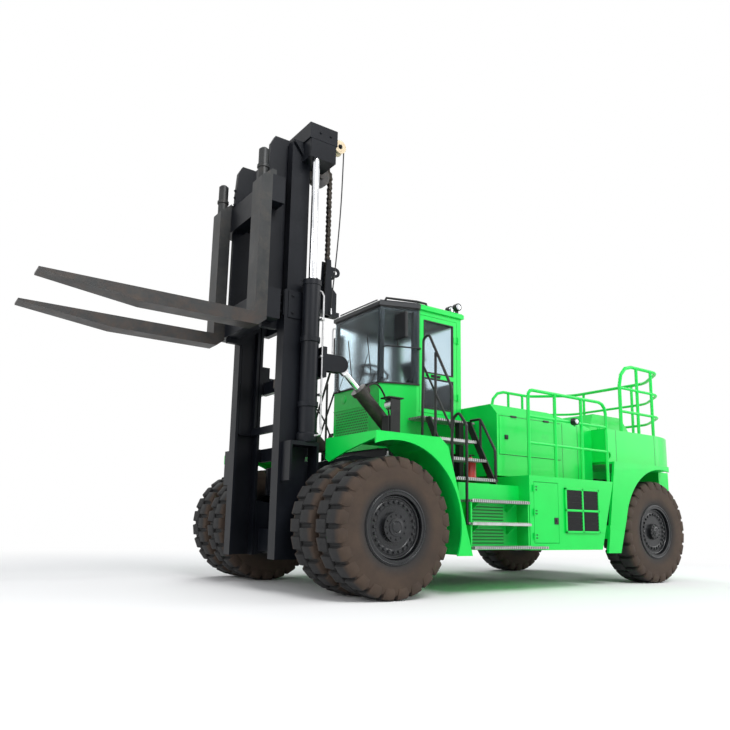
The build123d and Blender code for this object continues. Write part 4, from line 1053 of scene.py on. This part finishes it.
pair("carriage_bolts", charcoal,
     [*bolts([(1.076, 0.525, z) for z in (5.45, 5.56, 5.67)], FORWARD, 0.016),
      turned([(0, 0.06), (0.018, 0.06), (0.022, 0.05)], (0.66, 0.561, 4.5), OUT, 28),
      *(slab((0.93, -0.3, z), (0.948, 0.3, z + 0.02)) for z in (3.84, 4.96)),
      *bolts([(1.116, 0.6, z) for z in (5.12, 5.22)], FORWARD, 0.014)], "fork_carriage")
collar = [(0, 0.068), (0, 0.078), (0.006, 0.084), (0.04, 0.084), (0.046, 0.078), (0.046, 0.068)]
pair("fork_post_collar", fork_steel, [spun(collar, (1.2, 0.66, 5.47), steps=28)], "fork_carriage")
plugs = [turned([(0, 0.022), (0.05, 0.022), (0.055, 0.016), (0.07, 0.016)], (0.46, y, 2.84), UP, 12)
         for y in (-0.1, -0.03, 0.04, 0.11)]
shown("mast_valve_block", cast, [slab((0.425, -0.16, 2.7), (0.5, 0.16, 2.84), 0.01), *plugs], "mast_outer")
print("mast fittings made")

# %% [markdown]
# ## Fittings on the body
# Sheet-metal work lives by its small parts: grille frames and wire mesh, hatch locks, cover latches and
# hinges, seams and lifting eyes. The CAD has the lips of the louvres behind the lower flight too; each real
# lip hides a slot that reads as a dark line of shade, so a thin strip of painted shade, a darker green, sits on
# the panel just below each one.

# %% Grilles, hatches, covers and painted shade under the louvres
BOX, COVER, HATCH = 2.055, 1.5, 1.76  # how far out the faces of the box, cover and rear hatch lie
GRILLE_X, GRILLE_Z = ((-3.68, -3.355), (-3.325, -3.0)), ((0.81, 1.08), (1.105, 1.375))
WIRE, WIRE_STEP = 0.003, 0.018

pair("grille_frame", green,
     [*(slab((-3.715, BOX, z), (-2.965, BOX + 0.024, z + 0.03), 0.003) for z in (0.78, 1.0775, 1.375)),
      *(slab((x, BOX, 0.78), (x + 0.03, BOX + 0.024, 1.405), 0.003) for x in (-3.715, -3.355, -2.995))])


def wire(x0, z0, x1, z1):
    return slab((x0, BOX + 0.0185, z0), (x1, BOX + 0.0205, z1), 0)


lying = [wire(x0, z0 + WIRE_STEP * k, x1, z0 + WIRE_STEP * k + WIRE)
         for x0, x1 in GRILLE_X for z0, _ in GRILLE_Z for k in range(1, 15)]
standing = [wire(x0 + WIRE_STEP * k, z0, x0 + WIRE_STEP * k + WIRE, z1)
            for z0, z1 in GRILLE_Z for x0, _ in GRILLE_X for k in range(1, 18)]
pair("grille_mesh", rubber_trim, lying + standing)
hinge_bolts = [(x, BOX + 0.006, z) for x in (-2.39, -2.36) for z in (0.71, 0.75, 1.03, 1.07, 1.35, 1.39)]
pair("hatch_lock", plastic, [slab((-2.825, BOX, 0.895), (-2.745, BOX + 0.01, 0.985)),
                             slab((-2.8, BOX + 0.01, 0.925), (-2.77, BOX + 0.02, 0.965)),
                             *bolts(hinge_bolts, OUT, 0.007)], "left_box_hatch")
pair("cover_latch", plastic,
     [slab((-2.44, 1.507, 2.085), (-2.375, 1.522, 2.15), 0.005),
      slab((-2.43, 1.52, 2.1), (-2.385, 1.532, 2.118)),
      *(slab((x, 1.506, 2.412), (x + 0.12, 1.522, 2.44), 0.005) for x in (-2.62, -3.32))])
pair("panel_seams", rubber_trim,
     [*(slab((-3.595, COVER, z), (-2.27, COVER + 0.0022, z + 0.008), 0) for z in (1.862, 2.42)),
      *(slab((x, COVER, 1.6), (x + 0.006, COVER + 0.0015, 2.44), 0) for x in (-3.64, -4.0)),
      *(slab((x, HATCH, 1.885), (x + 0.006, HATCH + 0.0012, 2.395), 0) for x in (-4.62, -5.66))])
eyes = []
for x, y in ((-4.75, 1.35), (-5.95, 0.75)):
    eyes += [torus(0.055, 0.017, (x, y, 2.47), 0.4, 28, 10),
             turned([(0, 0.045), (0.02, 0.045), (0.028, 0.03)], (x, y, 2.399), UP, 20)]
pair("lifting_eyes", green, [smoothed(joined(eyes), 50)])
# thin darker-green strips just below each louvre lip: painted shade where the slot would be
pair("louvre_slot_shade", painted_shade_green,
     [slab((-1.955, 1.86, z - 0.016), (-1.295, 1.8615, z - 0.001), 0)
      for low in (0.645, 0.94) for z in (low + 0.042 * k for k in range(5))])
print("covers, locks, eyes and louvre shade made")

# %% [markdown]
# ## Lamps and mirrors
# A lamp reads as a lamp because of its rings: a dark bezel with a bright domed lens in it. The mirror is
# the same idea turned flat, a silvered pane on a dark hood. Small parts like these take one or two
# operations each, yet they give the eye the scale of the whole machine.

# %% Lamps and mirrors
BEZEL = ((-0.004, 1.1), (0.01, 1.12), (0.014, 1.0), (0.008, 0.9))
DOME = ((0.0, 0.88), (0.01, 0.86), (0.016, 0.6), (0.018, 0.2))
LAMPS = (((-2.16, 0.611, 4.195), 0.052), ((-2.16, 0.781, 4.195), 0.052), ((-3.23, 2.099, 2.36), 0.042))


def lamp_rings(profile, angle):
    """The same rings on each lamp, with radii as shares of the lamp's own."""
    return [turned([(along, radius * share) for along, share in profile], place, OUT, 28, angle)
            for place, radius in LAMPS]


pair("lamp_bezels", plastic, lamp_rings(BEZEL, 35))
pair("lamp_lenses", lens, lamp_rings(DOME, 60))
pair("lamp_brackets", plastic, [slab((-3.26, 2.02, 2.395), (-3.2, 2.09, 2.41)),
                                rod([(-3.23, 2.03, 2.335), (-3.23, 2.06, 2.3), (-3.23, 2.08, 2.3)], 0.007)])
pair("stop_lamp", red, [slab((-7.012, 0.7, 1.6), (-6.99, 0.82, 1.72), 0.012)])
pair("turn_lamp", amber, [slab((-7.012, 0.86, 1.6), (-6.99, 0.98, 1.72), 0.012)])
pair("tail_lamp_plate", plastic, [slab((-7.006, 0.68, 1.58), (-6.995, 1.0, 1.74), 0.008)])
shown("tow_pin", cast, [turned([(0, 0.05), (0.3, 0.05), (0.31, 0.04)], (-7.03, 0, 1.02), UP, 24),
                        *(slab((-7.09, -0.16, z), (-6.98, 0.16, z + 0.05), 0.012) for z in (1.05, 1.25))])
pair("mirror_pane", silvered, [slab((-1.0345, 0.715, 3.5), (-1.0295, 0.945, 3.84), 0.002)])
pair("mirror_hood", plastic, [slab((-1.036, 0.694, 3.474), (-0.978, 0.966, 3.866), 0.018, 3)])
print("lamps and mirrors made")

# %% [markdown]
# ## Extinguisher, horn and tread teeth
# A turned piece starts as one disc that is drawn out ring by ring, so a bottle or a ribbed bellows is only
# a short list of distances and radii. The teeth that stop a boot from slipping are small blocks set out in
# a loop; each copy gets a mesh of its own, and then the copies are joined into one.

# %% Extinguisher, air horn and tread brackets
bottle = ((0, 0.066), (0.012, 0.075), (0.3, 0.075), (0.34, 0.062), (0.365, 0.03), (0.385, 0.026))
shown("extinguisher", red, [turned(bottle, (-1.79, 1.42, 1.402))])
shown("extinguisher_head", rail_black,
      [turned([(0, 0.02), (0.03, 0.02), (0.04, 0.012)], (-1.79, 1.42, 1.785), UP, 16),
       slab((-1.86, 1.41, 1.815), (-1.76, 1.43, 1.828), 0.003),
       slab((-1.8, 1.3, 1.45), (-1.78, 1.345, 1.7))])
ribs = [(along + 0.022 * k, radius) for k in range(7) for along, radius in ((0.008, 0.066), (0.019, 0.052))]
pair("horn_bellows", bright_steel,
     [turned([(0, 0.05), *ribs, (0.165, 0.05)], (-0.6, 1.08, 2.43), OUT, 28, 25)])
pair("horn_stand", rail_black,
     [slab((-0.68, 1.243, 1.906), (-0.52, 1.258, 2.5), 0.005),
      slab((-0.72, 1.072, 2.5), (-0.48, 1.28, 2.52), 0.005),
      slab((-0.68, 1.2, 1.905), (-0.52, 1.3, 1.915), 0.003),
      slab((-0.68, 1.085, 1.905), (-0.5, 1.235, 2.27), 0.012)])
bracket = outline_plate([(0, 0), (0.15, 0), (0.15, -0.02), (0.02, -0.11), (0, -0.11)], 0.01, edge=0.002)
pair("tread_brackets", green, [copies(moved(bracket, FACING), [shift((x, 1.862, z)) for x in (-1.36, -2.02)
                                                                for z in (0.863, 1.148)])])
TOOTH_STEP, TREAD_FRONT = 0.036, -1.19
# columns: top of the tread, how far out its nose is, where it ends at the rear
teeth = [shift((rear + 0.01 + TOOTH_STEP * k, nose - 0.008, top)) for top, nose, rear in (
    (0.6, 2.12, -2.24), (0.895, 2.1, -2.24), (1.18, 2.08, -2.24),
    (1.47, 1.79, -1.9), (1.745, 1.62, -1.9), (2.02, 1.43, -1.9))
    for k in range(int((TREAD_FRONT - rear) / TOOTH_STEP))]
pair("tread_teeth", grating, [copies(slab((0, 0, 0), (0.018, 0.006, 0.01), 0), teeth)])
step_bolts = [(-1.179, y, z) for y, z in ((2.04, 0.885), (1.99, 1.165), (1.72, 1.455), (1.55, 1.73))]
pair("stair_bolts", bright_steel, bolts(step_bolts, FORWARD, 0.012))
print("step fittings made")
